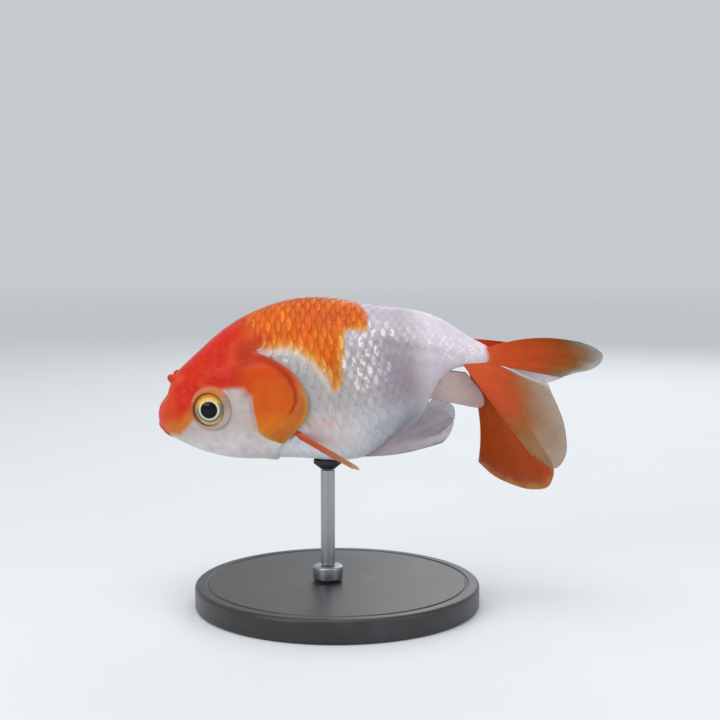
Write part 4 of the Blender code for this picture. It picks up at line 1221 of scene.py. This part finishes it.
def steelMaterial():
    # bare steel: fine lines run round it, as noise squeezed along the height
    made, w = newMaterial("brushed steel", {"Metallic": 1.0})
    lines = w.noise(w.add("Mapping", {}, {"Vector": w.place(), "Scale": (60.0, 60.0, 9000.0)}), 1.0, 3.0)
    colour = lines.tint(rgba((128, 130, 134)), rgba((186, 188, 192)))
    return feed(made, {"Base Color": colour, "Roughness": 0.22 + lines * 0.2,
                       "Normal": w.bump(lines, 0.2, 0.00003)})


def rubberMaterial():
    # two dark greys mixed by fine noise, which also drives the roughness and the bump
    made, w = newMaterial("soft rubber", {"Roughness": 0.6})
    grain = w.noise(w.place(), 1400.0, 3.0)
    return feed(made, {"Base Color": grain.tint(rgba((22, 22, 23)), rgba((40, 40, 42))),
                       "Roughness": 0.5 + grain * 0.25, "Normal": w.bump(grain, 0.3, 0.00006)})


def finishPad():
    # the pad's own shape is right, so it only gets a finish
    rubber = rubberMaterial()
    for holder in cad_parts["stand_pad"].material_slots:
        holder.material = rubber


print("stand")
makeStand()
finishPad()

# floor, light and camera
studio = {
    "floorRadius": 1.6, "floorSides": 128, "floor": (226, 229, 232),
    "world": (0.80, 0.83, 0.86), "worldStrength": 0.72,
}
camera = {
    "azimuthDeg": 5.0, "elevationDeg": 6.0, "distance": 0.300, "lens": 72.0,
    "aim": (0.0048, 0.0, 0.052),
}


def makeFloor():
    # a flat disc, level with the base's underside, that fades into the backdrop before its edge
    sides = studio["floorSides"]
    spin = 2 * math.pi * np.arange(sides) / sides
    radius = np.array([0.02, 0.1, 0.3, 0.8, 1.0])[:, None] * studio["floorRadius"]
    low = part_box("stand_base")[0].z
    ring = np.stack([radius * np.cos(spin), radius * np.sin(spin), low + 0 * radius * spin], axis=-1)
    points = np.concatenate([ring.reshape(-1, 3), [[0.0, 0.0, low]]])
    here = np.arange(sides)
    fan = np.stack([np.full(sides, ring[..., 0].size), here, (here + 1) % sides], axis=1)
    mesh = bpy.data.meshes.new("floor")
    mesh.from_pydata(points.tolist(), [], gridFaces(len(radius), sides, True).tolist() + fan.tolist())
    floor = bpy.data.objects.new("floor", mesh)
    bpy.context.scene.collection.objects.link(floor)
    made, w = newMaterial("pale floor", {"Roughness": 0.75, "Specular IOR Level": 0.25})
    where = w.place()
    cloud = w.noise(where, 14.0, 3.0)
    length = w.add("VectorMath", {"operation": "LENGTH"}, {0: where}, 1)
    colour = cloud.tint(rgba(studio["floor"]), rgba((232, 234, 236)))
    feed(made, {"Base Color": colour, "Alpha": 1 - length.ease(0.35, 0.95 * studio["floorRadius"])})
    mesh.materials.append(made)


def makeLight(name, place, size, power, colour):
    # a square softbox that faces the fish
    light = bpy.data.lights.new(name, "AREA")
    light.size, light.energy, light.color = size, power, colour
    holder = bpy.data.objects.new(name, light)
    holder.location = place
    aim = Vector(camera["aim"]) - Vector(place)
    holder.rotation_euler = aim.to_track_quat("-Z", "Y").to_euler()
    bpy.context.scene.collection.objects.link(holder)


def makeStudio():
    makeFloor()
    makeLight("overhead", (-0.05, -0.12, 0.50), 0.36, 0.95, (1.0, 0.98, 0.96))
    makeLight("front", (-0.34, -0.42, 0.26), 0.30, 0.80, (1.0, 0.99, 0.97))
    makeLight("side", (0.45, -0.22, 0.20), 0.30, 0.40, (0.93, 0.97, 1.0))
    makeLight("behind", (0.10, 0.45, 0.30), 0.30, 0.55, (0.95, 0.98, 1.0))
    world = bpy.data.worlds.new("studio")
    bpy.context.scene.world = world
    world.use_nodes = True
    backdrop = world.node_tree.nodes["Background"]
    backdrop.inputs["Color"].default_value = (*studio["world"], 1.0)
    backdrop.inputs["Strength"].default_value = studio["worldStrength"]
    bpy.context.scene.view_settings.view_transform = "Standard"
    azimuth, elevation = math.radians(camera["azimuthDeg"]), math.radians(camera["elevationDeg"])
    back = Vector((math.sin(azimuth) * math.cos(elevation), -math.cos(azimuth) * math.cos(elevation),
                   math.sin(elevation)))
    data = bpy.data.cameras.new("camera")
    data.lens, data.clip_start = camera["lens"], 0.01
    holder = bpy.data.objects.new("camera", data)
    holder.location = Vector(camera["aim"]) + back * camera["distance"]
    holder.rotation_mode = "QUATERNION"
    holder.rotation_quaternion = (-back).to_track_quat("-Z", "Y")
    bpy.context.scene.collection.objects.link(holder)
    bpy.context.scene.camera = holder


print("studio")
makeStudio()
